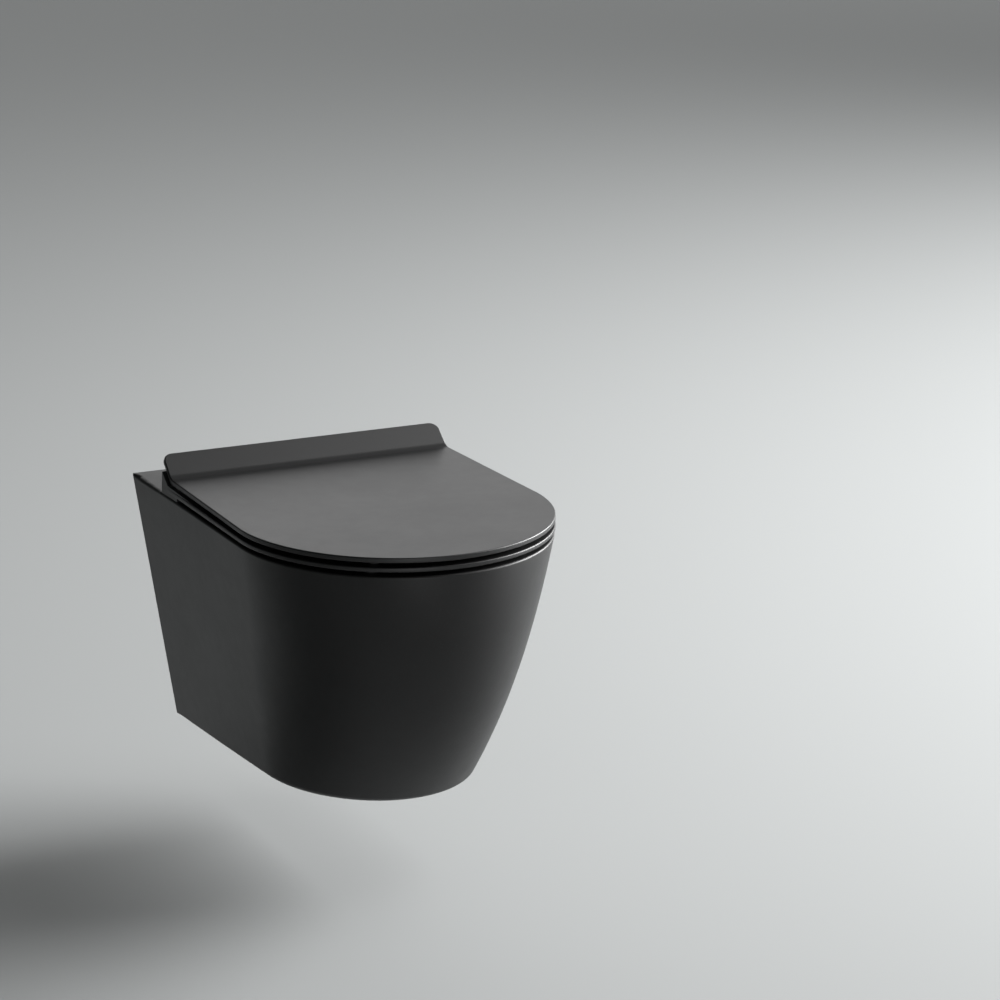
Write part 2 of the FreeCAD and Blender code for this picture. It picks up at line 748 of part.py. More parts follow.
def make_knuckles(body, name, start, corners):
    """A web and a round knuckle on each side, bored for the cartridge."""
    for side, offset in (("right", start), ("left", f"-({start}) - knuckle_width")):
        web = new_sketch(body, f"{name}_web_sketch_{side}", "YZ_Plane", offset)
        add_polygon(web, corners)
        pad(body, f"{name}_web_{side}", web, "knuckle_width")
        eye = new_sketch(body, f"{name}_eye_sketch_{side}", "YZ_Plane", offset)
        add_circle(eye, "-hinge_back", HINGE_Z, "post_radius")
        pad(body, f"{name}_eye_{side}", eye, "knuckle_width")
    bore = new_sketch(body, f"{name}_bore_sketch", "YZ_Plane")
    add_circle(bore, "-hinge_back", HINGE_Z, "damper_radius")
    pocket_through(body, f"{name}_bore", bore)


FLANGE_LEAN = "atan2(flange_rise; flange_foot_back - flange_top_back)"


def flange_points():
    """Corners of the flange's profile, back from the wall and up, worked out on the sheet."""
    top = ("-flange_top_back", f"{LID_TOP} + flange_rise")
    under = (f"-flange_top_back + flange_thick * sin({FLANGE_LEAN})",
             f"{LID_TOP} + flange_rise - flange_thick * cos({FLANGE_LEAN})")
    toe = (f"-flange_foot_back + flange_thick / sin({FLANGE_LEAN})"
           f" - lid_thick / tan({FLANGE_LEAN})", LID_LOW)
    return top, under, toe


def make_cheeks(body):
    """Cheeks at the seat's rear corners that follow the lid's flange and close off the hinge."""
    toe = flange_points()[2]
    bend_y, bend_z = f"{toe[0]} + cheek_gap * tan({FLANGE_LEAN} / 2)", f"{LID_LOW} - cheek_gap"
    corners = (
        ("-cheek_front", f"{SEAT_TOP} - web_drop"), ("-cheek_middle", f"{bend_z} - cheek_dip"),
        (bend_y, bend_z),
        (f"{bend_y} + cheek_reach * cos({FLANGE_LEAN})",
         f"{bend_z} + cheek_reach * sin({FLANGE_LEAN})"),
        ("-cheek_back", "rim_height + heel_gap"), ("-heel_front", "rim_height + heel_gap"),
        ("-heel_front", f"{SEAT_LOW} + web_drop"),
    )
    width = "seat_rear_half - cheek_inner"
    for side, offset in (("right", "cheek_inner"), ("left", "-seat_rear_half")):
        cheek = new_sketch(body, f"cheek_sketch_{side}", "YZ_Plane", offset)
        add_polygon(cheek, corners)
        pad(body, f"cheek_{side}", cheek, width)


def make_seat():
    body = new_body("seat_ring")
    ring = new_sketch(body, "ring_sketch", "XY_Plane", SEAT_LOW)
    add_outline(ring, "seat_rear_half", "lid_half_width", "rim_straight", "lid_nose", "seat_rear")
    add_ellipse(ring, "hole_half_width", "hole_half_length", "hole_centre")
    plate = pad(body, "ring_plate", ring, "seat_thick")
    for name, radius, level in (("ring_rounding", "seat_round", number(SEAT_TOP)),
                                ("ring_under_rounding", "seat_under_round", number(SEAT_LOW))):
        plate = fillet(body, name, plate, radius,
                       lambda e: lies_at(e, "Z", level) and not lies_at(e, "Y", -number("seat_rear")))
    heel = new_sketch(body, "heel_sketch", "XY_Plane", "rim_height + heel_gap")
    add_polygon(heel, (
        ("seat_rear_half", "-seat_rear"), ("-seat_rear_half", "-seat_rear"),
        ("-seat_rear_half", "-heel_front"), ("seat_rear_half", "-heel_front"),
    ))
    pad(body, "heel", heel, "seat_gap - heel_gap + web_drop")
    make_cheeks(body)
    root = "-seat_rear - seat_gap"
    make_knuckles(body, "seat", SEAT_KNUCKLE_X, (
        (root, f"{SEAT_LOW} + web_drop"), ("-hinge_back", f"{HINGE_Z} - post_radius"),
        ("-hinge_back", f"{HINGE_Z} + web_drop"), (root, f"{SEAT_TOP} - web_drop"),
    ))
    return keep("seat_ring", body)


# --- lid ----------------------------------------------------------------------------------------

def make_lid():
    body = new_body("lid")
    top, under, toe = flange_points()
    nose, side = "-lid_nose - cut_overrun", "lid_half_width + cut_overrun"
    profile = new_sketch(body, "lid_profile", "YZ_Plane")
    add_polygon(profile, (
        (nose, LID_TOP), ("-flange_foot_back", LID_TOP), top, under, toe, (nose, LID_LOW),
    ))
    pad(body, "lid_blank", profile, f"2 * ({side})", both_ways=True)
    outline = new_sketch(body, "lid_outline", "XY_Plane")
    rear, front = "-hinge_back + post_radius", f"{nose} - cut_overrun"
    around = f"{side} + cut_overrun"
    add_polygon(outline, (
        (around, rear), (f"-({around})", rear), (f"-({around})", front), (around, front),
    ))
    add_outline(outline, "lid_rear_half", "lid_half_width", "rim_straight", "lid_nose",
                "flange_top_back - flange_thick")
    flange = pocket_through(body, "lid_trim", outline)
    foot, crest = number("-flange_foot_back"), number(f"{LID_TOP} + flange_rise")
    flange = fillet(body, "flange_corners", flange, "flange_corner",
                    lambda e: middle_of(e).z > crest - number("lid_thick")
                    and abs(middle_of(e).x) > number("lid_rear_half") - SIDE_REACH)
    flange = fillet(body, "flange_hollow", flange, "flange_fillet",
                    lambda e: lies_at(e, "Y", foot) and lies_at(e, "Z", number(LID_TOP)))
    slope = number("flange_rise / (flange_foot_back - flange_top_back)")
    lid_top, lid_low = number(LID_TOP), number(LID_LOW)
    bend_y, toe_y = number("-flange_foot_back"), number(toe[0])

    def outer_edge(start, level):
        """A test for the outer edges that follow the lid's upper or lower profile."""
        def wanted(e):
            spot = middle_of(e)
            inner = (abs(spot.x) < SAME_PLACE
                     and abs(spot.y - bend_y) < number("flange_fillet"))
            return not inner and all(
                abs(v.Z - level - slope * max(0, v.Y - start)) < NEAR_LINE for v in e.Vertexes)
        return wanted

    flange = fillet(body, "lid_upper_rounding", flange, "lid_round", outer_edge(bend_y, lid_top))
    fillet(body, "lid_lower_rounding", flange, "lid_round", outer_edge(toe_y, lid_low))
    make_knuckles(body, "lid", LID_KNUCKLE_X, (
        ("-flange_foot_back + post_radius", f"{LID_TOP} + flange_thick / 2"),
        ("-hinge_back - 2 * post_radius / 3", f"{HINGE_Z} - post_radius / 3"),
        ("-hinge_back + post_radius / 2", f"{HINGE_Z} + post_radius / 3"),
        ("-flange_top_back", f"{LID_TOP} + flange_rise - flange_thick"),
    ))
    return keep("lid", body)


# --- rubber buffers -----------------------------------------------------------------------------

def make_pads():
    """Two pairs of buffers under the seat and two pairs under the lid."""
    for layer, gap, level in (("seat", "seat_gap", DECK), ("lid", "lid_gap", SEAT_TOP)):
        pads = []
        for end in ("front", "rear"):
            one = rod(f"{layer}_pad_{end}", f"{layer}_pad_radius", f"{gap} - pad_play",
                      x=f"{layer}_pad_{end}_half", y=f"-{layer}_pad_{end}_back",
                      z=f"{level} + pad_play")
            pads += [one, mirror(f"{layer}_pad_{end}_left", one)]
        keep(f"{layer}_buffers", group(f"{layer}_buffers", *pads))


# --- the whole toilet ---------------------------------------------------------------------------

make_pan()
make_wall_fixings()
make_spreader()
make_seat_fixings()
make_post()
make_button()
make_pins()
make_cartridges()
make_seat()
make_lid()
make_pads()
doc.recompute()

for thing in doc.Objects:
    if "Invalid" in thing.State or "Error" in thing.State:
        raise RuntimeError(f"{thing.Name} failed: {thing.State}")

os.makedirs("parts", exist_ok=True)
for name, made in nodes.items():
    shape = made.Shape
    if shape.isNull() or not shape.isValid():
        raise RuntimeError(f"{name} has no valid shape")
    shape.exportStep(f"parts/{name}.step")
    print(f"{name}: {len(shape.Solids)} solid(s), {shape.Volume / 1000:.1f} cm3")
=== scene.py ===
# %% [markdown]
# # A wall hung toilet in matt black
#
# The lesson dresses an exact model of a wall hung toilet. The model brings the sizes, the hinges
# and the bodies that move. What is made here is what the eye sees: the ceramic casting, the seat,
# the lid and their small fittings, each with a finish built from nodes.

# %% Load the measured model
import math

import bmesh
import bpy
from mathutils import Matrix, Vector


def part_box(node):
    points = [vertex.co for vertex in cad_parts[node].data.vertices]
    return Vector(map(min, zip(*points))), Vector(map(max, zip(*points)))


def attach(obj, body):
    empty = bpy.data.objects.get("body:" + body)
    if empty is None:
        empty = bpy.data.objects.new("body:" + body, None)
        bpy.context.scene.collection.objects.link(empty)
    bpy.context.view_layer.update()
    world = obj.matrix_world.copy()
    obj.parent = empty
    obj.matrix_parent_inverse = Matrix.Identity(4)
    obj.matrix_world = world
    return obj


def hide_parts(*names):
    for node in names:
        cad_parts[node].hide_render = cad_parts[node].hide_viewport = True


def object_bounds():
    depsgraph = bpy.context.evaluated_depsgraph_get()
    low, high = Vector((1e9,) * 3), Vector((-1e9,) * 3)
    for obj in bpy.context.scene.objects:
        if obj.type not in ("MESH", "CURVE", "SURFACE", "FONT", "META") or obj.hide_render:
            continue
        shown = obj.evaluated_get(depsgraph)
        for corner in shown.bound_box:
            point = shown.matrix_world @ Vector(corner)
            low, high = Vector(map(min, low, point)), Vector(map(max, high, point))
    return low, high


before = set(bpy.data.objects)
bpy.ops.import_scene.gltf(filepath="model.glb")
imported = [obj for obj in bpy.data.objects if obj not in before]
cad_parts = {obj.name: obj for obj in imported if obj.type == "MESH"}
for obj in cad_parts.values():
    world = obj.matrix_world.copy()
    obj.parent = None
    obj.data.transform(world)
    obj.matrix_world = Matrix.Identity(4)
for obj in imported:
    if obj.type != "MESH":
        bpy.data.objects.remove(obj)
box_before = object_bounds()
model_size = box_before[1] - box_before[0]
print("model:", [round(v, 3) for v in model_size], "metres across, deep and high")

# %% [markdown]
# ## The camera
#
# The picture was taken with a long lens from the left and a little above. A long lens keeps the
# pan's sides nearly parallel, so the camera stands far away and looks through 180 mm. Its place
# could be set by an aim object, but three plain numbers and two angles are easier to check.

# %% Camera
MM = 0.001
CAMERA_PLACE = Vector((-2164.2, -5211.6, 1600.5)) * MM
CAMERA_YAW = math.radians(25.26)
CAMERA_PITCH = math.radians(15.50)
LENS = 180
SENSOR = 36

camera_data = bpy.data.cameras.new("camera")
camera_data.lens = LENS
camera_data.sensor_width = SENSOR
camera = bpy.data.objects.new("camera", camera_data)
camera.location = CAMERA_PLACE
camera.rotation_euler = (math.radians(90) - CAMERA_PITCH, 0, -CAMERA_YAW)
bpy.context.scene.collection.objects.link(camera)
bpy.context.scene.camera = camera
print("camera:", round(CAMERA_PLACE.length, 2), "metres from the stud line")

# %% [markdown]
# ## Floor, room and lamps
#
# The toilet hangs over a pale floor. A wall would hide the back, so the room is only a dim grey
# around everything. Matt black shows little of its own colour: what the eye reads is the room,
# mirrored softly. A wide lamp far behind puts the even sheen on the lid, one on the right makes
# the band that brightens towards the right flank, a weak one in front keeps the nose from going
# black, one overhead lifts the upturned flange, and a ceiling lamp lights the floor. Many small
# lamps would make blotches, so they are few and large.

# %% Floor and room
FLOOR_Z = -0.33
FLOOR_SIZE = 60
FLOOR_COLOUR = (0.345, 0.355, 0.355, 1)
ROOM_GREY = (0.04, 0.043, 0.042, 1)

bpy.ops.mesh.primitive_plane_add(size=FLOOR_SIZE, location=(0, 0, FLOOR_Z))
floor = bpy.context.object
floor.name = "floor"

floor_paint = bpy.data.materials.new("floor_paint")
floor_paint.use_nodes = True
floor_shader = floor_paint.node_tree.nodes["Principled BSDF"]
floor_shader.inputs["Base Color"].default_value = FLOOR_COLOUR
floor_shader.inputs["Roughness"].default_value = 0.8
floor.data.materials.append(floor_paint)

world = bpy.data.worlds.new("room")
world.use_nodes = True
world.node_tree.nodes["Background"].inputs["Color"].default_value = ROOM_GREY
bpy.context.scene.world = world
bpy.context.scene.view_settings.view_transform = "Standard"


# %% Lamps
def softbox(name, place, aim, width, height, watts, spread=180):
    """A rectangular lamp that looks at a point; a smaller spread keeps its light together."""
    data = bpy.data.lights.new(name, "AREA")
    data.shape = "RECTANGLE"
    data.size = width
    data.size_y = height
    data.energy = watts
    data.spread = math.radians(spread)
    lamp = bpy.data.objects.new(name, data)
    lamp.location = place
    lamp.rotation_euler = (Vector(aim) - Vector(place)).to_track_quat("-Z", "Y").to_euler()
    bpy.context.scene.collection.objects.link(lamp)


TOILET_MIDDLE = (0, -0.27, 0)
softbox("back_lamp", (3.4, 6.6, 2.4), TOILET_MIDDLE, 8.0, 3.2, 106)
softbox("right_lamp", (4.64, -0.24, 1.44), TOILET_MIDDLE, 4.48, 2.4, 330, 110)
softbox("front_lamp", (-1.2, -5.4, 0.4), TOILET_MIDDLE, 2.4, 2.0, 60)
softbox("top_lamp", (1.9, -1.0, 2.4), (0.3, -0.6, 0), 2.0, 2.0, 35)
softbox("ceiling_lamp", (8, 3.5, 4.5), (8, 3.5, 0), 12, 12, 120)

# %% [markdown]
# ## Shared effects
#
# No real surface is one flat colour. Glaze has a soft orange peel and tiny specks, moulded
# plastic a fine grain, brushed steel long scratches, and every one of them is a little glossier
# in one place than in another. These effects return in many finishes, so each is a small node
# group with its own sliders. The group only works out colours, roughness and heights; the shader
# itself stays in the finish.

# %% Helper for node groups
def new_effect(name, sliders, results):
    """An empty node group, the sockets of its sliders and those that take its results."""
    effect = bpy.data.node_groups.new(name, "ShaderNodeTree")
    effect.interface.new_socket("Vector", in_out="INPUT", socket_type="NodeSocketVector")
    for label, value in sliders.items():
        kind = "NodeSocketColor" if isinstance(value, tuple) else "NodeSocketFloat"
        effect.interface.new_socket(label, in_out="INPUT", socket_type=kind).default_value = value
    for label, kind in results.items():
        effect.interface.new_socket(label, in_out="OUTPUT", socket_type=kind)
    given = effect.nodes.new("NodeGroupInput").outputs
    return effect, given, effect.nodes.new("NodeGroupOutput").inputs


def feed(tree, socket, value):
    """Gives a socket a plain value, or a link from another socket."""
    if isinstance(value, bpy.types.NodeSocket):
        tree.links.new(value, socket)
    else:
        socket.default_value = value


def noise(tree, place, scale, detail=2.0):
    """A noise texture read at a place."""
    texture = tree.nodes.new("ShaderNodeTexNoise")
    texture.inputs["Detail"].default_value = detail
    tree.links.new(place, texture.inputs["Vector"])
    feed(tree, texture.inputs["Scale"], scale)
    return texture.outputs["Fac"]


def stretch(tree, value, low, high, to_low=0.0, to_high=1.0):
    """Spreads the part of a value between low and high over a new span."""
    spread = tree.nodes.new("ShaderNodeMapRange")
    tree.links.new(value, spread.inputs["Value"])
    ends = (("From Min", low), ("From Max", high), ("To Min", to_low), ("To Max", to_high))
    for label, end in ends:
        feed(tree, spread.inputs[label], end)
    return spread.outputs["Result"]


def blend_colours(tree, share, first, second):
    """Mixes two colour sockets or values by a share."""
    mix = tree.nodes.new("ShaderNodeMix")
    mix.data_type = "RGBA"
    tree.links.new(share, mix.inputs["Factor"])
    feed(tree, mix.inputs[6], first)
    feed(tree, mix.inputs[7], second)
    return mix.outputs[2]


def add_up(tree, first, second):
    """The sum of two values."""
    total = tree.nodes.new("ShaderNodeMath")
    total.operation = "ADD"
    tree.links.new(first, total.inputs[0])
    tree.links.new(second, total.inputs[1])
    return total.outputs[0]


# %% Effect: specks in a colour
CLOUD_SPAN = (0.35, 0.65)
SPECK_SPAN = (0.62, 0.70)

specks, given, results = new_effect(
    "specks", {"Colour": (0.5, 0.5, 0.5, 1), "Cloud Colour": (0.4, 0.4, 0.4, 1),
               "Speck Colour": (0.3, 0.3, 0.3, 1), "Cloud Scale": 12.0, "Speck Scale": 900.0},
    {"Colour": "NodeSocketColor"})
cloud_noise = noise(specks, given["Vector"], given["Cloud Scale"], 4.0)
clouds = stretch(specks, cloud_noise, *CLOUD_SPAN)
clouded = blend_colours(specks, clouds, given["Colour"], given["Cloud Colour"])
speck_noise = noise(specks, given["Vector"], given["Speck Scale"])
dots = stretch(specks, speck_noise, *SPECK_SPAN)
specks.links.new(blend_colours(specks, dots, clouded, given["Speck Colour"]), results["Colour"])

# %% Effect: uneven gloss
GLOSS_SPAN = (0.75, 1.25)

uneven_gloss, given, results = new_effect(
    "uneven_gloss", {"Patch Scale": 10.0, "Smudge Scale": 60.0, "Smoothest": 0.3, "Roughest": 0.5},
    {"Roughness": "NodeSocketFloat"})
patches = noise(uneven_gloss, given["Vector"], given["Patch Scale"], 3.0)
smudges = noise(uneven_gloss, given["Vector"], given["Smudge Scale"], 4.0)
both = add_up(uneven_gloss, patches, smudges)
gloss = stretch(uneven_gloss, both, *GLOSS_SPAN, given["Smoothest"], given["Roughest"])
uneven_gloss.links.new(gloss, results["Roughness"])

# %% Effect: peel and grain
peel_and_grain, given, results = new_effect(
    "peel_and_grain", {"Peel Scale": 250.0, "Grain Scale": 1800.0, "Grain Share": 0.3},
    {"Height": "NodeSocketFloat"})
peel = noise(peel_and_grain, given["Vector"], given["Peel Scale"], 1.0)
grain = noise(peel_and_grain, given["Vector"], given["Grain Scale"])
shared = peel_and_grain.nodes.new("ShaderNodeMix")
peel_and_grain.links.new(given["Grain Share"], shared.inputs["Factor"])
peel_and_grain.links.new(peel, shared.inputs[2])
peel_and_grain.links.new(grain, shared.inputs[3])
peel_and_grain.links.new(shared.outputs[0], results["Height"])

# %% Effect: lathe and brush marks
LINE_SPAN = (0.3, 0.7)

fine_lines, given, results = new_effect(
    "fine_lines", {"Line Scale": 900.0, "Smoothest": 0.2, "Roughest": 0.4},
    {"Height": "NodeSocketFloat", "Roughness": "NodeSocketFloat"})
lines = noise(fine_lines, given["Vector"], given["Line Scale"], 3.0)
fine_lines.links.new(lines, results["Height"])
line_gloss = stretch(fine_lines, lines, *LINE_SPAN, given["Smoothest"], given["Roughest"])
fine_lines.links.new(line_gloss, results["Roughness"])
print("effects:", [effect.name for effect in bpy.data.node_groups])

# %% [markdown]
# ## The finishes
#
# Each finish starts from the shader's plain values and adds effects with sliders of its own. The
# matt glaze is the main one: a very dark neutral black whose roughness lets the room show only as
# a soft sheen. A clear coat over a rough black would also look satin, but it makes sharp
# reflections that matt glaze doesn't have. The seat and lid are moulded and finer in grain, so
# they reflect a little more evenly than the ceramic.

# %% Helpers for finishes
def start_finish(name, **plain):
    """A material whose shader has its plain values, and the place that its patterns read."""
    finish = bpy.data.materials.new(name)
    finish.use_nodes = True
    tree = finish.node_tree
    shader = tree.nodes["Principled BSDF"]
    for label, value in plain.items():
        shader.inputs[label.replace("_", " ").title().replace("Ior", "IOR")].default_value = value
    return finish, tree, shader, tree.nodes.new("ShaderNodeTexCoord").outputs["Object"]


def use_effect(tree, effect, place, **sliders):
    """Puts a node group in a finish, its sliders set."""
    node = tree.nodes.new("ShaderNodeGroup")
    node.node_tree = effect
    tree.links.new(place, node.inputs["Vector"])
    for label, value in sliders.items():
        node.inputs[label.replace("_", " ").title()].default_value = value
    return node.outputs


def raise_surface(tree, shader, height, depth):
    """Turns a height pattern into relief of a depth in metres."""
    bump = tree.nodes.new("ShaderNodeBump")
    bump.inputs["Distance"].default_value = depth
    tree.links.new(height, bump.inputs["Height"])
    tree.links.new(bump.outputs["Normal"], shader.inputs["Normal"])


def moulded(name, colour, cloud, speck, gloss, depth, peel_scale, grain_share, **plain):
    """A coloured finish with clouds and specks, uneven gloss and a fine relief."""
    finish, tree, shader, place = start_finish(name, **plain)
    tint = use_effect(tree, specks, place, colour=colour + (1,), cloud_colour=cloud + (1,),
                      speck_colour=speck + (1,))
    tree.links.new(tint["Colour"], shader.inputs["Base Color"])
    shine = use_effect(tree, uneven_gloss, place, smoothest=gloss[0], roughest=gloss[1])
    tree.links.new(shine["Roughness"], shader.inputs["Roughness"])
    relief = use_effect(tree, peel_and_grain, place, peel_scale=peel_scale, grain_share=grain_share)
    raise_surface(tree, shader, relief["Height"], depth)
    return finish


# %% Glaze, raw ceramic, plastics and rubber
matt_glaze = moulded("matt_glaze", (0.0060, 0.0060, 0.0062), (0.0075, 0.0075, 0.0076),
                     (0.013, 0.013, 0.013), (0.42, 0.45), 0.00005, 220.0, 0.35,
                     specular_ior_level=0.34)
seat_plastic, lid_plastic = (
    moulded(name, (0.0065, 0.0065, 0.0067), (0.0075, 0.0075, 0.0077), (0.011, 0.011, 0.011),
            (0.395, 0.42), 0.00002, 500.0, 0.6) for name in ("seat_plastic", "lid_plastic"))
black_plastic = moulded("black_plastic", (0.010, 0.010, 0.011), (0.013, 0.013, 0.014),
                        (0.020, 0.020, 0.021), (0.45, 0.60), 0.00006, 700.0, 0.7)
button_plastic = moulded("button_plastic", (0.030, 0.030, 0.031), (0.036, 0.036, 0.037),
                         (0.050, 0.050, 0.051), (0.28, 0.36), 0.00003, 700.0, 0.7)
damper_plastic = moulded("damper_plastic", (0.045, 0.048, 0.052), (0.055, 0.058, 0.062),
                         (0.08, 0.083, 0.088), (0.28, 0.38), 0.00003, 700.0, 0.6)
post_metal = moulded("post_metal", (0.014, 0.014, 0.0145), (0.018, 0.018, 0.0185),
                     (0.035, 0.035, 0.036), (0.36, 0.48), 0.00005, 600.0, 0.5)
rubber = moulded("rubber", (0.016, 0.016, 0.017), (0.024, 0.024, 0.024), (0.05, 0.05, 0.05),
                 (0.70, 0.85), 0.0001, 900.0, 0.8)


# %% Raw ceramic with glaze sprayed over one end
SPRAYED_BLACK = (0.0065, 0.0065, 0.0067, 1)
SPRAY_RAGGED = 0.006
SPRAY_SCALE = 35


def fired_ceramic(name, bare_from, glazed_from):
    """Pale unglazed ceramic; between two places along Y it turns into the black glaze."""
    finish = moulded(name, (0.58, 0.54, 0.47), (0.50, 0.46, 0.40), (0.30, 0.26, 0.21),
                     (0.75, 0.90), 0.0002, 400.0, 0.6)
    tree = finish.node_tree
    shader = tree.nodes["Principled BSDF"]
    place = tree.nodes["Texture Coordinate"].outputs["Object"]
    split = tree.nodes.new("ShaderNodeSeparateXYZ")
    tree.links.new(place, split.inputs[0])
    ragged = stretch(tree, noise(tree, place, SPRAY_SCALE, 5.0), 0.0, 1.0,
                     -SPRAY_RAGGED, SPRAY_RAGGED)
    edge = add_up(tree, split.outputs["Y"], ragged)
    sprayed = stretch(tree, edge, bare_from, glazed_from)
    bare = shader.inputs["Base Color"].links[0].from_socket
    tree.links.new(blend_colours(tree, sprayed, bare, SPRAYED_BLACK), shader.inputs["Base Color"])
    return finish


raw_ceramic = fired_ceramic("raw_ceramic", bare_from=-0.016, glazed_from=-0.003)
pipe_ceramic = fired_ceramic("pipe_ceramic", bare_from=-0.12, glazed_from=-0.14)


# %% Metals
def metal(name, colour, worn, gloss, squeeze, depth):
    """A metal with fine lines; they run long where the pattern is squeezed least."""
    finish, tree, shader, place = start_finish(name, metallic=1.0)
    along = tree.nodes.new("ShaderNodeMapping")
    along.inputs["Scale"].default_value = squeeze
    tree.links.new(place, along.inputs["Vector"])
    tint = use_effect(tree, specks, place, colour=colour + (1,), cloud_colour=worn + (1,),
                      speck_colour=worn + (1,), cloud_scale=90.0)
    tree.links.new(tint["Colour"], shader.inputs["Base Color"])
    marks = use_effect(tree, fine_lines, along.outputs["Vector"], smoothest=gloss[0],
                       roughest=gloss[1])
    tree.links.new(marks["Roughness"], shader.inputs["Roughness"])
    raise_surface(tree, shader, marks["Height"], depth)
    return finish


stainless = metal("stainless", (0.60, 0.59, 0.57), (0.52, 0.51, 0.49), (0.18, 0.32),
                  (0.05, 1, 1), 0.00001)
zinc_steel = metal("zinc_steel", (0.58, 0.60, 0.61), (0.42, 0.44, 0.45), (0.28, 0.50),
                   (1, 1, 0.3), 0.00003)
brass = metal("brass", (0.78, 0.57, 0.26), (0.62, 0.44, 0.19), (0.22, 0.40), (1, 1, 0.1), 0.00002)

# %% Put the finishes on the measured pieces
def plain_name(finish):
    """A finish's name without the number that Blender adds to a name in use."""
    return finish.name.split(".")[0]


FINISHES = {plain_name(finish): finish for finish in (
    seat_plastic, lid_plastic, black_plastic, button_plastic, damper_plastic, post_metal,
    stainless, zinc_steel, rubber, brass)}
FINISHES["ceramic"] = matt_glaze
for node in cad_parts.values():
    for held in node.material_slots:
        held.material = FINISHES[plain_name(held.material)]
for inner in ("pan_trap", "pan_inlet"):
    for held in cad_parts[inner].material_slots:
        held.material = pipe_ceramic
print("finishes:", sorted(finish.name for finish in FINISHES.values()))

# %% [markdown]
# ## Tools for shaping by hand
#
# Every new piece starts as a primitive and is shaped in edit mode. An operator acts on all that is
# selected, so each helper first deselects everything and then selects vertices, edges or faces by
# their place. Doing it by hand would mean clicking; a small test for each selection does the same
# and can be read later.

# %% Tools for edit mode
NEAR = 0.00001
FACING = 0.99


def touch(piece):
    """Makes a piece the only selected one."""
    bpy.ops.object.select_all(action="DESELECT")
    bpy.context.view_layer.objects.active = piece
    piece.select_set(True)


def shaped(piece):
    """Opens a piece in edit mode with nothing selected."""
    touch(piece)
    bpy.ops.object.mode_set(mode="EDIT")
    bpy.ops.mesh.select_all(action="DESELECT")


def close_edit():
    """Leaves edit mode."""
    bpy.ops.object.mode_set(mode="OBJECT")


def pull(step):
    """Extrudes the selected faces by a step."""
    bpy.ops.mesh.extrude_region_move(TRANSFORM_OT_translate={"value": step})


def choose(kind, test):
    """Selects the vertices, edges or faces of the piece in edit mode that pass a test."""
    bpy.ops.mesh.select_mode(type=kind)
    shape = bmesh.from_edit_mesh(bpy.context.object.data)
    shape.normal_update()
    items = {"VERT": shape.verts, "EDGE": shape.edges, "FACE": shape.faces}[kind]
    for item in items:
        item.select_set(bool(test(item)))
    shape.select_flush_mode()
    bmesh.update_edit_mesh(bpy.context.object.data)
    return sum(item.select for item in items)


def selected_now():
    """Numbers of the vertices that are selected."""
    shape = bmesh.from_edit_mesh(bpy.context.object.data)
    return {v.index for v in shape.verts if v.select}


def start_piece(name, add, **options):
    """Adds a primitive with nothing else selected, names it and opens it in edit mode."""
    bpy.ops.object.select_all(action="DESELECT")
    add(**options)
    piece = bpy.context.object
    piece.name = name
    bpy.ops.object.transform_apply(location=True, rotation=True, scale=True)
    bpy.ops.object.mode_set(mode="EDIT")
    return piece


def finished(piece, finish=None):
    """Merges doubles, turns every face outwards, leaves edit mode and gives a finish."""
    bpy.ops.mesh.select_mode(type="VERT")
    bpy.ops.mesh.select_all(action="SELECT")
    bpy.ops.mesh.remove_doubles(threshold=NEAR)
    bpy.ops.mesh.normals_make_consistent(inside=False)
    close_edit()
    if finish:
        piece.data.materials.append(finish)
    return piece


# %% Joining, rounding and smoothing
def combine(piece, other, how):
    """Applies a boolean of another closed piece, which brings its finish and is thrown away."""
    touch(piece)
    work = piece.modifiers.new(how, "BOOLEAN")
    work.operation = how
    work.solver = "EXACT"
    work.material_mode = "TRANSFER" if other.data.materials else "INDEX"
    work.object = other
    bpy.ops.object.modifier_apply(modifier=work.name)
    bpy.data.objects.remove(other, do_unlink=True)


def bevel(piece, width, test, segments=5):
    """Rounds the edges that pass a test."""
    shaped(piece)
    choose("EDGE", test)
    bpy.ops.mesh.bevel(offset=width, segments=segments, affect="EDGES", clamp_overlap=False)
    close_edit()


def soften(piece, angle=40):
    """Smooth shading that keeps the sharper edges and leaves flat faces flat."""
    touch(piece)
    bpy.ops.object.shade_smooth_by_angle(angle=math.radians(angle))
    work = piece.modifiers.new("flat_faces_stay_flat", "WEIGHTED_NORMAL")
    work.keep_sharp = True
    bpy.ops.object.modifier_apply(modifier=work.name)


def settle(piece, body, slot, *nodes):
    """Gives a piece its finish, its body and the measured pieces that it stands for."""
    if not piece.data.materials:
        piece.data.materials.append(FINISHES[slot])
    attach(piece, body)
    if nodes:
        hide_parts(*nodes)
    print(piece.name, "-", len(piece.data.polygons), "faces, rides on", body)


# %% Blocks and round bars
def bar(name, low, high, finish=None):
    """A block between two corners."""
    low, high = Vector(low), Vector(high)
    piece = start_piece(name, bpy.ops.mesh.primitive_cube_add, size=1, location=(low + high) / 2)
    bpy.ops.mesh.select_all(action="SELECT")
    bpy.ops.transform.resize(value=high - low, center_override=(low + high) / 2)
    return finished(piece, finish)


def pin(name, radius, start, end, sides=48, finish=None):
    """A round bar between two points."""
    start, end = Vector(start), Vector(end)
    turn = (end - start).to_track_quat("Z", "Y").to_euler()
    piece = start_piece(name, bpy.ops.mesh.primitive_cylinder_add, vertices=sides, radius=radius,
                        depth=(end - start).length, location=(start + end) / 2, rotation=turn)
    return finished(piece, finish)


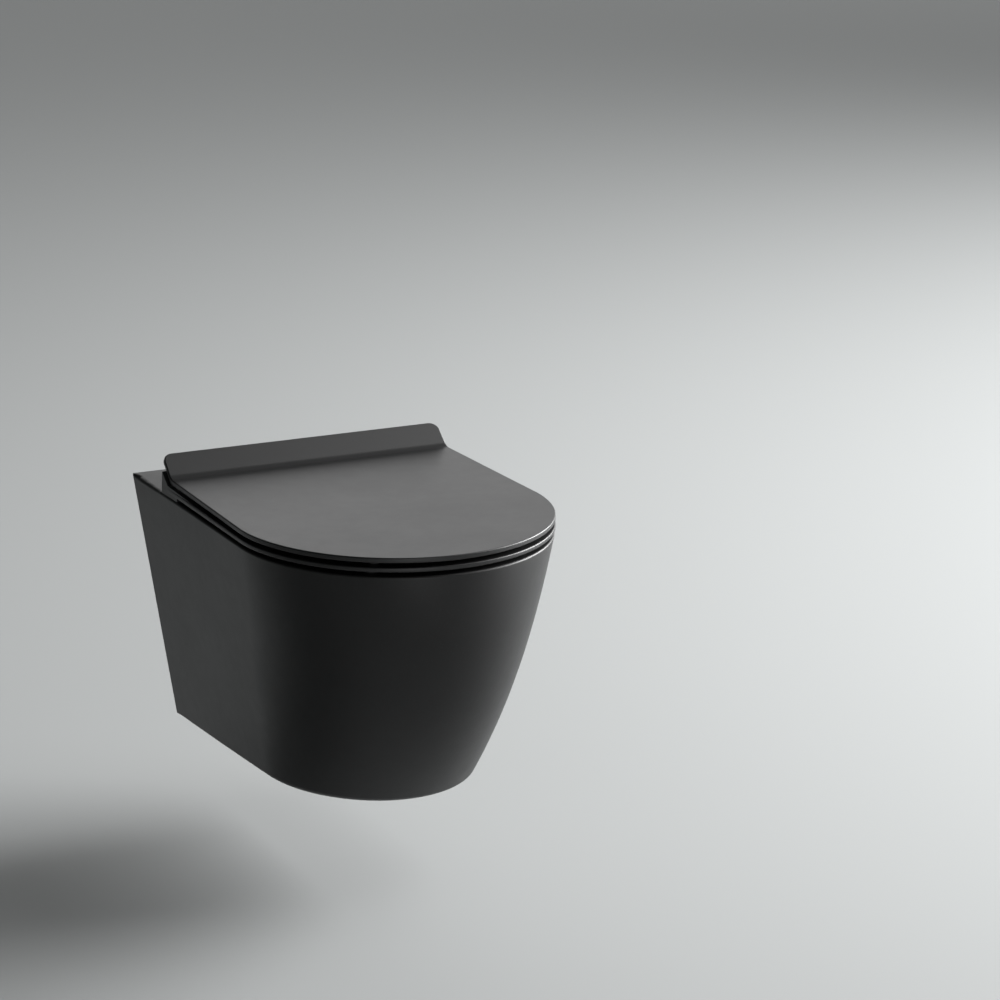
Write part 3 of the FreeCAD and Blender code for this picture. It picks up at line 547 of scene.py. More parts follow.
# %% [markdown]
# ## The ceramic casting
#
# The real pan is slip cast in plaster: clay sets against the mould's walls and leaves a hollow
# body, with the basin, the trap and the pipe sockets stuck in. Its outside is one D outline that
# shrinks and changes from rim to foot. It could be sculpted or lofted from curves; here a circle is
# laid out as the D and drawn down ring by ring, because each ring then has exactly the outline of
# the measured model.

# %% The D outline as a ring
RING_POINTS = 128


def d_ring(level, rear_half, half_width, straight, length, rear=0.0):
    """Sizes of one D outline: a rear edge, two straight sides and half an oval in front."""
    return {"level": level, "rear_half": rear_half, "half_width": half_width,
            "straight": straight, "nose": length - straight, "rear": rear}


def fit_ring(level, split, rear_scale, rear_step, front_scale, front_centre, front_step):
    """Sizes and moves the part of the selected ring behind a split, and then the part before."""
    mine = selected_now()
    choose("VERT", lambda v: v.index in mine and v.co.y > split)
    bpy.ops.transform.resize(value=(*rear_scale, 1), center_override=(0, 0, level))
    bpy.ops.transform.translate(value=(0, rear_step, 0))
    rear = selected_now()
    choose("VERT", lambda v: v.index in mine - rear)
    bpy.ops.transform.resize(value=(*front_scale, 1), center_override=(0, front_centre, level))
    bpy.ops.transform.translate(value=(0, front_step, 0))
    choose("VERT", lambda v: v.index in mine)


def lay_ring(ring):
    """Turns the selected circle of radius 1 into a D outline."""
    corner = ring["half_width"] * math.cos(2 * math.pi / RING_POINTS)
    bpy.ops.transform.resize(value=(ring["half_width"], ring["nose"], 1),
                             center_override=(0, 0, ring["level"]))
    fit_ring(ring["level"], NEAR, (ring["rear_half"] / corner, 0), -ring["rear"],
             (1, 1), 0, -ring["straight"])


def draw_out(old, new):
    """Extrudes the selected ring and gives the new ring its own sizes."""
    bpy.ops.mesh.extrude_edges_move(
        TRANSFORM_OT_translate={"value": (0, 0, new["level"] - old["level"])})
    fit_ring(new["level"], -(old["rear"] + old["straight"]) / 2,
             (new["rear_half"] / old["rear_half"], 1), old["rear"] - new["rear"],
             (new["half_width"] / old["half_width"], new["nose"] / old["nose"]),
             -old["straight"], old["straight"] - new["straight"])


def stack_rings(name, rings, finish=None):
    """A closed solid drawn through a stack of D outlines."""
    piece = start_piece(name, bpy.ops.mesh.primitive_circle_add, vertices=RING_POINTS, radius=1,
                        location=(0, 0, rings[0]["level"]))
    bpy.ops.mesh.select_all(action="SELECT")
    lay_ring(rings[0])
    bpy.ops.mesh.edge_face_add()
    for old, new in zip(rings, rings[1:]):
        draw_out(old, new)
    bpy.ops.mesh.edge_face_add()
    return finished(piece, finish)


# %% Sizes of the casting
RIM_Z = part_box("pan_deck")[1].z
FOOT_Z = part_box("pan_skin")[0].z
PAN_HEIGHT = RIM_Z - FOOT_Z
RIM_REAR_HALF = 173.5 * MM
RIM_HALF_WIDTH = 179 * MM
RIM_STRAIGHT = 342 * MM
RIM_LENGTH = 534 * MM
REAR_TAPER = 49.5 * MM
SIDE_TAPER = 59 * MM
STRAIGHT_TAPER = 84 * MM
NOSE_TAPER = 128 * MM
NOSE_BULGE = 150 * MM
print("casting:", round(PAN_HEIGHT, 3), "high")


def pan_ring(step, inset=0.0, overrun=0.0):
    """The pan's outline part of the way from its rim (0) to its foot (1)."""
    return d_ring(
        RIM_Z - step * PAN_HEIGHT,
        RIM_REAR_HALF - step * REAR_TAPER - inset,
        RIM_HALF_WIDTH - step * SIDE_TAPER - inset,
        RIM_STRAIGHT - step * STRAIGHT_TAPER,
        RIM_LENGTH - step * NOSE_TAPER + step * (1 - step) * NOSE_BULGE - inset,
        -overrun,
    )


# %% The casting's outside
OUTSIDE_RINGS = 17
outside_steps = [i / (OUTSIDE_RINGS - 1) for i in range(OUTSIDE_RINGS)]
outside = stack_rings("pan_body", [pan_ring(step) for step in outside_steps], matt_glaze)
print("drawn:", OUTSIDE_RINGS, "rings")

# %% [markdown]
# ## Edges that are not equally round everywhere
#
# The glaze pulls thin at the front, where the rim is nearly sharp, and the rim is rounder near
# the wall. The foot is the other way round: soft in front, crisp at the wall. One bevel has one
# width, so each stretch of edge gets a weight of its own first, and the bevel modifier multiplies
# its width by that weight. For this the long sides are cut into short stretches.

# %% How round each edge is
RIM_SHARPEST = 2.6 * MM
RIM_SOFTEST = 8 * MM
SOFT_FROM = 200 * MM
FOOT_SHARPEST = 2 * MM
FOOT_SOFTEST = 9 * MM
FOOT_STRAIGHT = pan_ring(1)["straight"]
SAME_LEVEL = 0.2 * MM


def at_height(level, spot):
    """Whether a point lies at one level."""
    return abs(spot.z - level) < SAME_LEVEL


def lies_at(level, edge):
    """Whether a whole edge lies at one level."""
    return all(at_height(level, v.co) for v in edge.verts)


def rim_roundness(y):
    """How round the rim is at a place along Y."""
    return RIM_SHARPEST + (RIM_SOFTEST - RIM_SHARPEST) * max(0, 1 + y / SOFT_FROM) ** 2


def foot_roundness(y):
    """How round the foot's edge is at a place along Y."""
    return FOOT_SHARPEST + (FOOT_SOFTEST - FOOT_SHARPEST) * (y / FOOT_STRAIGHT) ** 2


# %% Weigh and round the rim and the foot
SIDE_CUTS = 15
LONG_EDGE = 100 * MM


def weigh_outline(level, straight, roundness):
    """Gives every stretch of an outline the bevel weight for its place."""
    stretches = SIDE_CUTS + 1
    for count in range(stretches):
        far, near = -straight * (count + 1) / stretches, -straight * count / stretches
        choose("EDGE", lambda e: lies_at(level, e)
               and far < (e.verts[0].co.y + e.verts[1].co.y) / 2 < near)
        bpy.ops.transform.edge_bevelweight(value=roundness((far + near) / 2) / FOOT_SOFTEST)
    choose("EDGE", lambda e: lies_at(level, e)
           and all(v.co.y < NEAR - straight for v in e.verts))
    bpy.ops.transform.edge_bevelweight(value=roundness(-straight) / FOOT_SOFTEST)


shaped(outside)
choose("EDGE", lambda e: abs(e.verts[0].co.y - e.verts[1].co.y) > LONG_EDGE)
bpy.ops.mesh.subdivide(number_cuts=SIDE_CUTS)
weigh_outline(RIM_Z, RIM_STRAIGHT, rim_roundness)
weigh_outline(FOOT_Z, FOOT_STRAIGHT, foot_roundness)
close_edit()
rounding = outside.modifiers.new("edges", "BEVEL")
rounding.limit_method = "WEIGHT"
rounding.width = FOOT_SOFTEST
rounding.segments = 8
rounding.use_clamp_overlap = False
touch(outside)
bpy.ops.object.modifier_apply(modifier=rounding.name)
print("casting's outside:", len(outside.data.polygons), "faces")

# %% [markdown]
# ## Hollow, basin and holes
#
# The hollow is the same outline drawn in by the skin's thickness, and the basin is a stack of ovals
# that move towards the wall as they go down. Both are solids that are cut away. The basin keeps a
# wall of its own inside the hollow, so that wall is first taken out of the hollow. Each cutting
# solid carries the finish of the face that it leaves: black glaze in the basin, bare clay inside.

# %% The hollow of the casting
SHELL_WALL = 13 * MM
DECK_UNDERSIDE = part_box("pan_deck")[0].z
CAVITY_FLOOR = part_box("pan_basin")[0].z
CAVITY_RINGS = 9
BEHIND_WALL = 20 * MM

cavity_top = (RIM_Z - DECK_UNDERSIDE) / PAN_HEIGHT
cavity_foot = (RIM_Z - CAVITY_FLOOR) / PAN_HEIGHT
cavity_steps = [cavity_top + (cavity_foot - cavity_top) * i / (CAVITY_RINGS - 1)
                for i in range(CAVITY_RINGS)]
cavity = stack_rings("cavity", [pan_ring(s, SHELL_WALL, BEHIND_WALL) for s in cavity_steps],
                     raw_ceramic)
print("hollow:", len(cavity.data.polygons), "faces")

# %% The basin, as a stack of ovals
# depth below the rim, half width, half length, distance of the centre from the wall
BASIN_LEVELS = (
    (-5, 128, 163, 327),
    (30, 125, 160, 326),
    (110, 102, 130, 305),
    (185, 58, 77, 260),
    (250, 36, 46, 234),
    (282, 24, 32, 228),
)
BASIN_STEPS = 5
OVAL_POINTS = 96


def smooth_between(rows, row, part):
    """A smooth curve's values part of the way from one row of a table to the next."""
    def slope(i, column):
        low, high = max(i - 1, 0), min(i + 1, len(rows) - 1)
        return (rows[high][column] - rows[low][column]) / (rows[high][0] - rows[low][0])

    start, end = rows[row], rows[row + 1]
    gap = end[0] - start[0]
    made = [start[0] + part * gap]
    for column in range(1, len(start)):
        made.append(
            (2 * part ** 3 - 3 * part ** 2 + 1) * start[column]
            + (part ** 3 - 2 * part ** 2 + part) * slope(row, column) * gap
            + (3 * part ** 2 - 2 * part ** 3) * end[column]
            + (part ** 3 - part ** 2) * slope(row + 1, column) * gap)
    return made


def basin_ovals(grown=0.0):
    """Level, half width, half length and centre of each oval, in metres."""
    rows = [smooth_between(BASIN_LEVELS, row, step / BASIN_STEPS)
            for row in range(len(BASIN_LEVELS) - 1) for step in range(BASIN_STEPS)]
    rows.append(list(BASIN_LEVELS[-1]))
    return [(RIM_Z - depth * MM, width * MM + grown, length * MM + grown, -centre * MM)
            for depth, width, length, centre in rows]


def stack_ovals(name, ovals, finish):
    """A closed solid drawn through a stack of ovals."""
    level, half_width, half_length, centre = ovals[0]
    piece = start_piece(name, bpy.ops.mesh.primitive_circle_add, vertices=OVAL_POINTS, radius=1,
                        location=(0, centre, level))
    bpy.ops.mesh.select_all(action="SELECT")
    bpy.ops.transform.resize(value=(half_width, half_length, 1), center_override=(0, centre, level))
    bpy.ops.mesh.edge_face_add()
    for old, new in zip(ovals, ovals[1:]):
        bpy.ops.mesh.extrude_edges_move(
            TRANSFORM_OT_translate={"value": (0, new[3] - old[3], new[0] - old[0])})
        bpy.ops.transform.resize(value=(new[1] / old[1], new[2] / old[2], 1),
                                 center_override=(0, new[3], new[0]))
    bpy.ops.mesh.edge_face_add()
    return finished(piece, finish)


# %% The basin's lip and its two faces
LIP_ROUNDING = 6 * MM
LIP_STEPS = 6
BASIN_WALL = 12 * MM


def basin_space():
    """The basin's space, opened out at the top by a quarter round."""
    ovals = [row for row in basin_ovals() if row[0] < RIM_Z - LIP_ROUNDING]
    _, half_width, half_length, centre = ovals[0]
    lip = []
    for i in range(LIP_STEPS + 1):
        turn = math.radians(90) * i / LIP_STEPS
        out = LIP_ROUNDING * (1 - math.sin(turn))
        lip.append((RIM_Z - LIP_ROUNDING * (1 - math.cos(turn)), half_width + out,
                    half_length + out, centre))
    above = (RIM_Z + LIP_ROUNDING, half_width + LIP_ROUNDING, half_length + LIP_ROUNDING, centre)
    return [above] + lip[:-1] + ovals


wall_rows = [row for row in basin_ovals(BASIN_WALL) if row[0] < DECK_UNDERSIDE + BASIN_WALL]
wall_rows[-1] = (wall_rows[-1][0] - BASIN_WALL,) + wall_rows[-1][1:]
basin_outside = stack_ovals("basin_outside", wall_rows, raw_ceramic)
basin_inside = stack_ovals("basin_inside", basin_space(), matt_glaze)
print("basin:", len(basin_inside.data.polygons), "faces inside")

# %% Stud lugs
STUD_X = 90 * MM
LUG_INNER = 68 * MM
LUG_OUTER = 160 * MM
LUG_DEPTH = 45 * MM
LUG_HALF_HEIGHT = 24 * MM
for side in (1, -1):
    inner, outer = sorted((side * LUG_INNER, side * LUG_OUTER))
    combine(cavity, bar("lug", (inner, -LUG_DEPTH, -LUG_HALF_HEIGHT),
                        (outer, BEHIND_WALL, LUG_HALF_HEIGHT), raw_ceramic), "DIFFERENCE")
combine(cavity, basin_outside, "DIFFERENCE")
combine(outside, cavity, "DIFFERENCE")
combine(outside, basin_inside, "DIFFERENCE")
print("hollow casting:", len(outside.data.polygons), "faces")

# %% Holes for studs, hinges and water
POST_X = 77.5 * MM
HINGE_Y = -86 * MM
GRUB_Y = -30 * MM
FLUSH_Z = 35 * MM
SUMP_Z = -166 * MM
# radius, start and end, finish inside
HOLES = (
    (11, (STUD_X, -LUG_DEPTH - MM, 0), (STUD_X, MM, 0), raw_ceramic),
    (5.05, (STUD_X, GRUB_Y, -LUG_HALF_HEIGHT - MM), (STUD_X, GRUB_Y, 0), raw_ceramic),
    (8, (STUD_X, GRUB_Y, FOOT_Z - MM), (STUD_X, GRUB_Y, CAVITY_FLOOR + MM), matt_glaze),
    (7, (POST_X, HINGE_Y, DECK_UNDERSIDE - MM), (POST_X, HINGE_Y, RIM_Z + MM), raw_ceramic),
    (18, (0, -200 * MM, FLUSH_Z), (0, -140 * MM, FLUSH_Z), matt_glaze),
    (26, (0, -228 * MM, SUMP_Z), (0, -160 * MM, SUMP_Z), matt_glaze),
)
for radius, start, end, finish in HOLES:
    for side in (1, -1) if start[0] else (1,):
        ends = [(side * spot[0], spot[1], spot[2]) for spot in (start, end)]
        combine(outside, pin("way", radius * MM, *ends, finish=finish), "DIFFERENCE")
print("holes:", len(HOLES), "kinds")

# %% Back face, smooth shading and body
shaped(outside)
at_wall = choose("FACE", lambda f: f.normal.y > FACING and f.calc_center_median().y > -NEAR)
outside.active_material_index = outside.data.materials.find("raw_ceramic")
bpy.ops.object.material_slot_assign()
close_edit()
print("faces against the wall:", at_wall)
soften(outside, angle=35)
settle(outside, "pan", "ceramic", "pan_skin", "pan_deck", "pan_basin")

# %% [markdown]
# ## The lid
#
# The lid is one moulded plate of matt duroplast. At the hinge it turns up into a low flange that
# hides the knuckles, with a soft hollow where plate and flange meet and round upper corners. A
# curve could be swept along the profile, but the plate's outline would then need trimming. So the
# D plate comes first, and its rear face is pulled back and up, which is how such a lid is drawn.

# %% Lid plate and flange
PLATE_HALF = 180 * MM
PLATE_NOSE = 534 * MM
LID_TOP = RIM_Z + 21 * MM
LID_THICK = 6 * MM
LID_LOW = LID_TOP - LID_THICK
FLANGE_FOOT = 116 * MM
FLANGE_RUN = 27 * MM
FLANGE_RISE = 23 * MM
FLANGE_THICK = 5.5 * MM
FLANGE_FILLET = 16 * MM
FLANGE_CORNER = 11 * MM
LID_EDGE = 1.5 * MM
FOOT_HALF = 172.1 * MM
TOP_HALF = 171.2 * MM
FLAT_ANGLE = 1


def on_line(spot, y, z):
    """Whether a point lies on a line along X."""
    return abs(spot.y - y) < SAME_LEVEL and at_height(z, spot)


lid = stack_rings("lid_cover", [
    d_ring(level, FOOT_HALF, PLATE_HALF, RIM_STRAIGHT, PLATE_NOSE, FLANGE_FOOT)
    for level in (LID_TOP, LID_LOW)])
shaped(lid)
choose("VERT", lambda v: abs(v.co.y + FLANGE_FOOT) < NEAR)
bpy.ops.mesh.dissolve_limited(angle_limit=math.radians(FLAT_ANGLE))
choose("FACE", lambda f: f.normal.y > FACING)
pull((0, FLANGE_RUN, FLANGE_RISE))
bpy.ops.transform.resize(value=(TOP_HALF / FOOT_HALF, 1, 1), center_override=(0, 0, 0))

# %% Give the flange its own thickness
flange_y = FLANGE_RUN - FLANGE_FOOT
flange_top = LID_TOP + FLANGE_RISE
lean = math.atan2(FLANGE_RISE, FLANGE_RUN)
choose("VERT", lambda v: on_line(v.co, flange_y, LID_LOW + FLANGE_RISE))
bpy.ops.transform.translate(
    value=(0, FLANGE_THICK * math.sin(lean), LID_THICK - FLANGE_THICK * math.cos(lean)))
toe = FLANGE_THICK / math.sin(lean) - LID_THICK / math.tan(lean)
choose("VERT", lambda v: on_line(v.co, -FLANGE_FOOT, LID_LOW))
bpy.ops.transform.translate(value=(0, toe, 0))
close_edit()

# %% Round the hollow, the corners and the edges
EDGE_ANGLE = 50
bevel(lid, FLANGE_FILLET * math.tan(lean / 2),
      lambda e: all(on_line(v.co, -FLANGE_FOOT, LID_TOP) for v in e.verts), segments=12)
bevel(lid, FLANGE_CORNER, lambda e: all(v.co.z > flange_top - LID_THICK for v in e.verts)
      and abs(e.verts[0].co.y - e.verts[1].co.y) > MM, segments=10)
shaped(lid)
bpy.ops.mesh.select_mode(type="EDGE")
bpy.ops.mesh.edges_select_sharp(sharpness=math.radians(EDGE_ANGLE))
bpy.ops.mesh.bevel(offset=LID_EDGE, segments=5, affect="EDGES", clamp_overlap=False)
close_edit()
print("lid plate and flange:", len(lid.data.polygons), "faces")

# %% [markdown]
# ## Knuckles
#
# Lid and seat turn on the same two pins. Each has an eye on both sides of each post, carried by a
# web. The web is drawn from the side as a four-cornered plate and pulled to its width, and the eye
# is a round bar bored for the damper or bush that the knuckle holds.

# %% Round bars on the hinge's axis
HINGE_Z = RIM_Z + 14 * MM
FINE_SIDES = 64


def axle(name, radius, start, end):
    """A round bar on the hinge's axis, between two places along X."""
    return pin(name, radius, (start, HINGE_Y, HINGE_Z), (end, HINGE_Y, HINGE_Z), FINE_SIDES)


# %% Webs and eyes
KNUCKLE_RADIUS = 9 * MM
KNUCKLE_WIDTH = 15.5 * MM
CARTRIDGE_RADIUS = 7 * MM
WEB_DROP = 0.5 * MM
WEB_STEP = 0.1 * MM
LID_KNUCKLE_X = 85.5 * MM


def side_plate(name, corners, start, width):
    """A plate drawn from the side by its corners (y, z) and pulled along x to its width."""
    piece = start_piece(name, bpy.ops.mesh.primitive_circle_add, vertices=len(corners), radius=1,
                        fill_type="NGON", location=(start, 0, 0))
    for index, (y, z) in enumerate(corners):
        choose("VERT", lambda v: v.index == index)
        points = bmesh.from_edit_mesh(piece.data).verts
        points.ensure_lookup_table()
        bpy.ops.transform.translate(value=Vector((start, y, z)) - points[index].co)
    bpy.ops.mesh.select_all(action="SELECT")
    pull((width, 0, 0))
    return finished(piece)


def add_knuckles(piece, near_edge, corners):
    """Joins a web and an eye on both sides and bores them for the hinge cartridges."""
    for x in (near_edge, -near_edge - KNUCKLE_WIDTH):
        end = x + KNUCKLE_WIDTH
        web = side_plate("web", corners, x + WEB_STEP, KNUCKLE_WIDTH - 2 * WEB_STEP)
        combine(piece, web, "UNION")
        combine(piece, axle("eye", KNUCKLE_RADIUS, x, end), "UNION")
        combine(piece, axle("bore", CARTRIDGE_RADIUS, x - MM, end + MM), "DIFFERENCE")


add_knuckles(lid, LID_KNUCKLE_X, (
    (-FLANGE_FOOT + KNUCKLE_RADIUS, LID_TOP + FLANGE_THICK / 2),
    (HINGE_Y - 2 * KNUCKLE_RADIUS / 3, HINGE_Z - KNUCKLE_RADIUS / 3),
    (HINGE_Y + KNUCKLE_RADIUS / 2, HINGE_Z + KNUCKLE_RADIUS / 3),
    (flange_y, flange_top - FLANGE_THICK),
))
soften(lid, angle=35)
settle(lid, "lid", "lid_plastic", "lid")

# %% [markdown]
# ## The seat
#
# Under the lid lies the ring, a plate with an oval hole and a heel at the rear that fills the gap
# to the ceramic. An oval could be cut out of a plate; here the D outline and the oval are bridged,
# which leaves clean faces, and the flat ring is pulled up to its thickness. Its edges are rounded
# after that, the lower ones a little more.

# %% Seat plate
SEAT_GAP = 4.5 * MM
SEAT_LOW = RIM_Z + SEAT_GAP
SEAT_THICK = 5.5 * MM
SEAT_TOP = SEAT_LOW + SEAT_THICK
SEAT_REAR = 112 * MM
SEAT_REAR_HALF = 175 * MM
HOLE_HALF_WIDTH = 118 * MM
HOLE_HALF_LENGTH = 141 * MM
HOLE_CENTRE = -331 * MM
SEAT_ROUNDING = 1.4 * MM
UNDER_ROUNDING = 2 * MM
SHARP_TURN = math.radians(60)

seat = start_piece("seat_plate", bpy.ops.mesh.primitive_circle_add, vertices=RING_POINTS, radius=1,
                   location=(0, 0, SEAT_LOW))
bpy.ops.mesh.select_all(action="SELECT")
lay_ring(d_ring(SEAT_LOW, SEAT_REAR_HALF, PLATE_HALF, RIM_STRAIGHT, PLATE_NOSE, SEAT_REAR))
bpy.ops.mesh.select_all(action="DESELECT")
bpy.ops.mesh.primitive_circle_add(vertices=RING_POINTS, radius=1,
                                  location=(0, HOLE_CENTRE, SEAT_LOW))
bpy.ops.transform.resize(value=(HOLE_HALF_WIDTH, HOLE_HALF_LENGTH, 1),
                         center_override=(0, HOLE_CENTRE, SEAT_LOW))
bpy.ops.mesh.select_mode(type="EDGE")
bpy.ops.mesh.select_all(action="SELECT")
bpy.ops.mesh.bridge_edge_loops()
bpy.ops.mesh.select_all(action="SELECT")
pull((0, 0, SEAT_THICK))
finished(seat)
for level, width in ((SEAT_TOP, SEAT_ROUNDING), (SEAT_LOW, UNDER_ROUNDING)):
    bevel(seat, width, lambda e: e.is_manifold and e.calc_face_angle() > SHARP_TURN
          and lies_at(level, e) and any(v.co.y < -SEAT_REAR - NEAR for v in e.verts), segments=6)
print("seat plate:", len(seat.data.polygons), "faces")

# %% Heel of the seat
HEEL_FRONT = -142 * MM
HEEL_LOW = RIM_Z + 0.8 * MM

combine(seat, bar("heel", (-SEAT_REAR_HALF, HEEL_FRONT, HEEL_LOW),
                  (SEAT_REAR_HALF, -SEAT_REAR, SEAT_LOW + WEB_DROP)), "UNION")

# %% [markdown]
# ## Cheeks of the seat
#
# At both rear corners the seat curls up under the lid's flange, so that nobody looks into the
# hinges from the side. The cheek's outline runs along the lid at a thin even gap. Its tip is
# slightly rounded, because a moulded corner is never sharp.

# %% Cheeks
CHEEK_INNER = 163 * MM
CHEEK_FRONT = -205 * MM
CHEEK_MIDDLE = -145 * MM
CHEEK_BACK = -95 * MM
CHEEK_GAP = 2 * MM
CHEEK_DIP = 1.2 * MM
CHEEK_REACH = 21 * MM
CHEEK_ROUNDING = 1 * MM

bend_y = toe - FLANGE_FOOT + CHEEK_GAP * math.tan(lean / 2)
bend_z = LID_LOW - CHEEK_GAP
tip_y, tip_z = bend_y + CHEEK_REACH * math.cos(lean), bend_z + CHEEK_REACH * math.sin(lean)
cheek_corners = (
    (CHEEK_FRONT, SEAT_TOP - WEB_DROP), (CHEEK_MIDDLE, bend_z - CHEEK_DIP), (bend_y, bend_z),
    (tip_y, tip_z), (CHEEK_BACK, HEEL_LOW), (HEEL_FRONT, HEEL_LOW),
    (HEEL_FRONT, SEAT_LOW + WEB_DROP),
)
for x in (CHEEK_INNER, -SEAT_REAR_HALF):
    cheek = side_plate("cheek", cheek_corners, x, SEAT_REAR_HALF - CHEEK_INNER)
    bevel(cheek, CHEEK_ROUNDING, lambda e: any(at_height(tip_z, v.co) for v in e.verts)
          and all(v.co.z > bend_z - SAME_LEVEL for v in e.verts), segments=4)
    combine(seat, cheek, "UNION")
print("seat with heel and cheeks:", len(seat.data.polygons), "faces")

# %% Knuckles of the seat
SEAT_KNUCKLE_X = 54 * MM

web_root = -SEAT_REAR - SEAT_GAP
add_knuckles(seat, SEAT_KNUCKLE_X, (
    (web_root, SEAT_LOW + WEB_DROP), (HINGE_Y, HINGE_Z - KNUCKLE_RADIUS),
    (HINGE_Y, HINGE_Z + WEB_DROP), (web_root, SEAT_TOP - WEB_DROP),
))
soften(seat, angle=35)
settle(seat, "seat", "seat_plastic", "seat_ring")

# %% [markdown]
# ## Hinge posts and release buttons
#
# Each post is a die-cast column with a round crown, bored for the pin, and it stands on a round
# steel plate. Behind, a small sprung button with two finger grooves lets the seat go. A round bar
# joined to a block would leave a seam, so the post is one block: its two upper edges are rounded
# until they meet in the crown, and then it is bored and slotted. The right one is modelled, and
# the left one is its mirror image with a mesh of its own.

# %% Mirrored copies
def start_copy(piece, name):
    """Opens a copy with its own mesh in edit mode, all of it selected."""
    touch(piece)
    bpy.ops.object.duplicate()
    copy = bpy.context.object
    copy.name = name
    bpy.ops.object.mode_set(mode="EDIT")
    bpy.ops.mesh.select_all(action="SELECT")
    return copy


def mirrored(piece, name):
    """A copy on the other side, turned right side out again."""
    copy = start_copy(piece, name)
    bpy.ops.transform.resize(value=(-1, 1, 1), center_override=(0, 0, 0))
    bpy.ops.mesh.normals_make_consistent(inside=False)
    close_edit()
    return copy


# %% Round plates under the posts
PLATE_RADIUS = 18 * MM
PLATE_THICK = 3 * MM
PLATE_EDGE = 0.9 * MM
BOLT_RADIUS = 4 * MM
HEAD_RADIUS = 7 * MM
PLATE_TOP = RIM_Z + PLATE_THICK

plate = pin("hinge_plate_right", PLATE_RADIUS, (POST_X, HINGE_Y, RIM_Z),
            (POST_X, HINGE_Y, PLATE_TOP), sides=96)
bevel(plate, PLATE_EDGE, lambda e: lies_at(PLATE_TOP, e), segments=4)
sink = start_piece("sink", bpy.ops.mesh.primitive_cone_add, vertices=FINE_SIDES,
                   radius1=BOLT_RADIUS, radius2=HEAD_RADIUS, depth=PLATE_THICK,
                   location=(POST_X, HINGE_Y, RIM_Z + PLATE_THICK / 2))
for way in (MM, -MM):
    choose("FACE", lambda f: f.normal.z * way > FACING * MM)
    pull((0, 0, way))
finished(sink)
combine(plate, sink, "DIFFERENCE")
soften(plate)
for piece in (plate, mirrored(plate, "hinge_plate_left")):
    settle(piece, "pan", "stainless", "hinge_plates")

# %% Posts
POST_WIDTH = 15 * MM
POST_RADIUS = 9 * MM
POST_EDGE = 1.2 * MM
PIN_BORE = 4.05 * MM
BUTTON_WIDTH = 7.6 * MM
BUTTON_HEIGHT = 4 * MM
BUTTON_LENGTH = 9 * MM
BUTTON_PROUD = 3 * MM
BUTTON_LOW = RIM_Z + 4.6 * MM
SLOT_PLAY = 0.15 * MM

inner, outer = POST_X - POST_WIDTH / 2, POST_X + POST_WIDTH / 2
crown = HINGE_Z + POST_RADIUS
post = bar("hinge_column_right", (inner, HINGE_Y - POST_RADIUS, PLATE_TOP),
           (outer, HINGE_Y + POST_RADIUS, crown))
bevel(post, POST_RADIUS - NEAR, lambda e: lies_at(crown, e)
      and abs(e.verts[0].co.x - e.verts[1].co.x) > MM, segments=24)
bevel(post, POST_EDGE,
      lambda e: e.calc_face_angle() > SHARP_TURN and not lies_at(PLATE_TOP, e))
combine(post, axle("bore", PIN_BORE, inner - MM, outer + MM), "DIFFERENCE")
post_rear = HINGE_Y + POST_RADIUS
slot_low = BUTTON_LOW - SLOT_PLAY
slot_half = BUTTON_WIDTH / 2 + SLOT_PLAY
combine(post, bar("slot", (POST_X - slot_half, post_rear - BUTTON_LENGTH, slot_low),
                  (POST_X + slot_half, post_rear + MM,
                   slot_low + BUTTON_HEIGHT + 2 * SLOT_PLAY)), "DIFFERENCE")
soften(post, angle=35)
settle(post, "pan", "post_metal", "hinge_post_right")
settle(mirrored(post, "hinge_column_left"), "pan", "post_metal", "hinge_post_left")

# %% Release buttons
BUTTON_EDGE = 0.8 * MM
GROOVE_HEIGHT = 0.5 * MM
GROOVE_SIDE = 0.12 * MM
GROOVE_DEPTH = 0.35 * MM

button_rear = post_rear + BUTTON_PROUD
button = bar("button_right", (POST_X - BUTTON_WIDTH / 2, button_rear - BUTTON_LENGTH, BUTTON_LOW),
             (POST_X + BUTTON_WIDTH / 2, button_rear, BUTTON_LOW + BUTTON_HEIGHT))
bevel(button, BUTTON_EDGE, lambda e: all(abs(v.co.y - button_rear) < NEAR for v in e.verts))
shaped(button)
middle = BUTTON_LOW + BUTTON_HEIGHT / 2
cuts = [middle + part * GROOVE_HEIGHT for part in (-1.5, -0.5, 0.5, 1.5)]
for level in cuts:
    choose("FACE", lambda f: f.normal.y > FACING)
    bpy.ops.mesh.bisect(plane_co=(0, 0, level), plane_no=(0, 0, 1))
choose("FACE", lambda f: f.normal.y > FACING and
       abs(abs(f.calc_center_median().z - middle) - GROOVE_HEIGHT) < SLOT_PLAY)
bpy.ops.mesh.inset(thickness=GROOVE_SIDE, use_individual=True)
bpy.ops.transform.translate(value=(0, -GROOVE_DEPTH, 0))
close_edit()
soften(button, angle=30)
settle(button, "button_right", "button_plastic", "release_button_right")
settle(mirrored(button, "button_left"), "button_left", "button_plastic", "release_button_left")

# %% [markdown]
# ## Pins and rubber pads
#
# A turned pin runs through each post, its ends chamfered so that it slides in. Four rubber pads
# under the seat and four under the lid keep them off what they close on. A pad has a rounded edge
# and a shallow dish, as moulded ones do. Each kind is modelled once and copied to its places.

# %% Copies at other places
def copied(piece, name, step):
    """A copy moved by a step."""
    copy = start_copy(piece, name)
    bpy.ops.transform.translate(value=step)
    close_edit()
    return copy


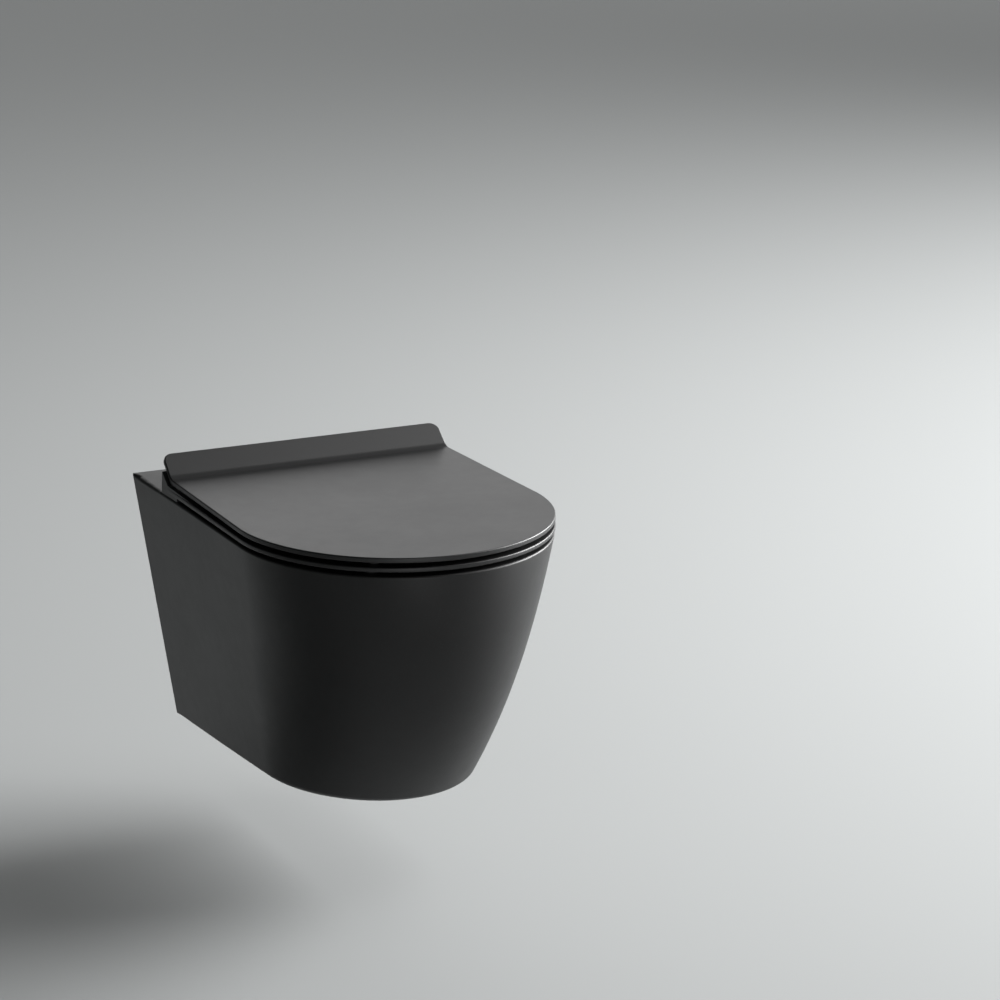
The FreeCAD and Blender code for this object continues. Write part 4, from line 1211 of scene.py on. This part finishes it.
# %% Hinge pins
PIN_RADIUS = 4 * MM
PIN_LENGTH = 50 * MM
PIN_CHAMFER = 0.6 * MM

near, far = POST_X - PIN_LENGTH / 2, POST_X + PIN_LENGTH / 2
steel_pin = axle("pin_right", PIN_RADIUS, near, far)
bevel(steel_pin, PIN_CHAMFER, lambda e: any(all(abs(v.co.x - end) < NEAR for v in e.verts)
                                            for end in (near, far)), segments=1)
soften(steel_pin, angle=30)
for piece in (steel_pin, mirrored(steel_pin, "pin_left")):
    settle(piece, "pan", "stainless", "hinge_pins")

# %% Rubber pads
PAD_PLAY = 0.05 * MM
PAD_EDGE = 0.9 * MM
DISH_RIM = 1.6 * MM
DISH_DEPTH = 0.5 * MM
SEAT_PAD_RADIUS = 7.5 * MM
LID_PAD_RADIUS = 6 * MM


def pads(kind, body, node, radius, low, high, places):
    """Pads of one kind under a plate: an edge rounded below, a dish, and copies at each place."""
    (x, y), *others = [(across * MM, along * MM) for across, along in places]
    first = pin(f"{kind}_1", radius, (x, y, low), (x, y, high), FINE_SIDES)
    bevel(first, PAD_EDGE, lambda e: lies_at(low, e), segments=4)
    shaped(first)
    choose("FACE", lambda f: f.normal.z < -FACING)
    bpy.ops.mesh.inset(thickness=DISH_RIM)
    bpy.ops.transform.translate(value=(0, 0, DISH_DEPTH))
    bpy.ops.mesh.inset(thickness=DISH_DEPTH)
    close_edit()
    soften(first)
    copies = [copied(first, f"{kind}_{count}", (to_x - x, to_y - y, 0))
              for count, (to_x, to_y) in enumerate(others, start=2)]
    for piece in (first, *copies):
        settle(piece, body, "rubber", node)


SEAT_PADS = ((88, -487), (-88, -487), (150, -230), (-150, -230))
LID_PADS = ((86, -490), (-86, -490), (149, -250), (-149, -250))
pads("seat_pad", "seat", "seat_buffers", SEAT_PAD_RADIUS, RIM_Z + PAD_PLAY, SEAT_LOW, SEAT_PADS)
pads("lid_pad", "lid", "lid_buffers", LID_PAD_RADIUS, SEAT_TOP + PAD_PLAY, LID_LOW, LID_PADS)
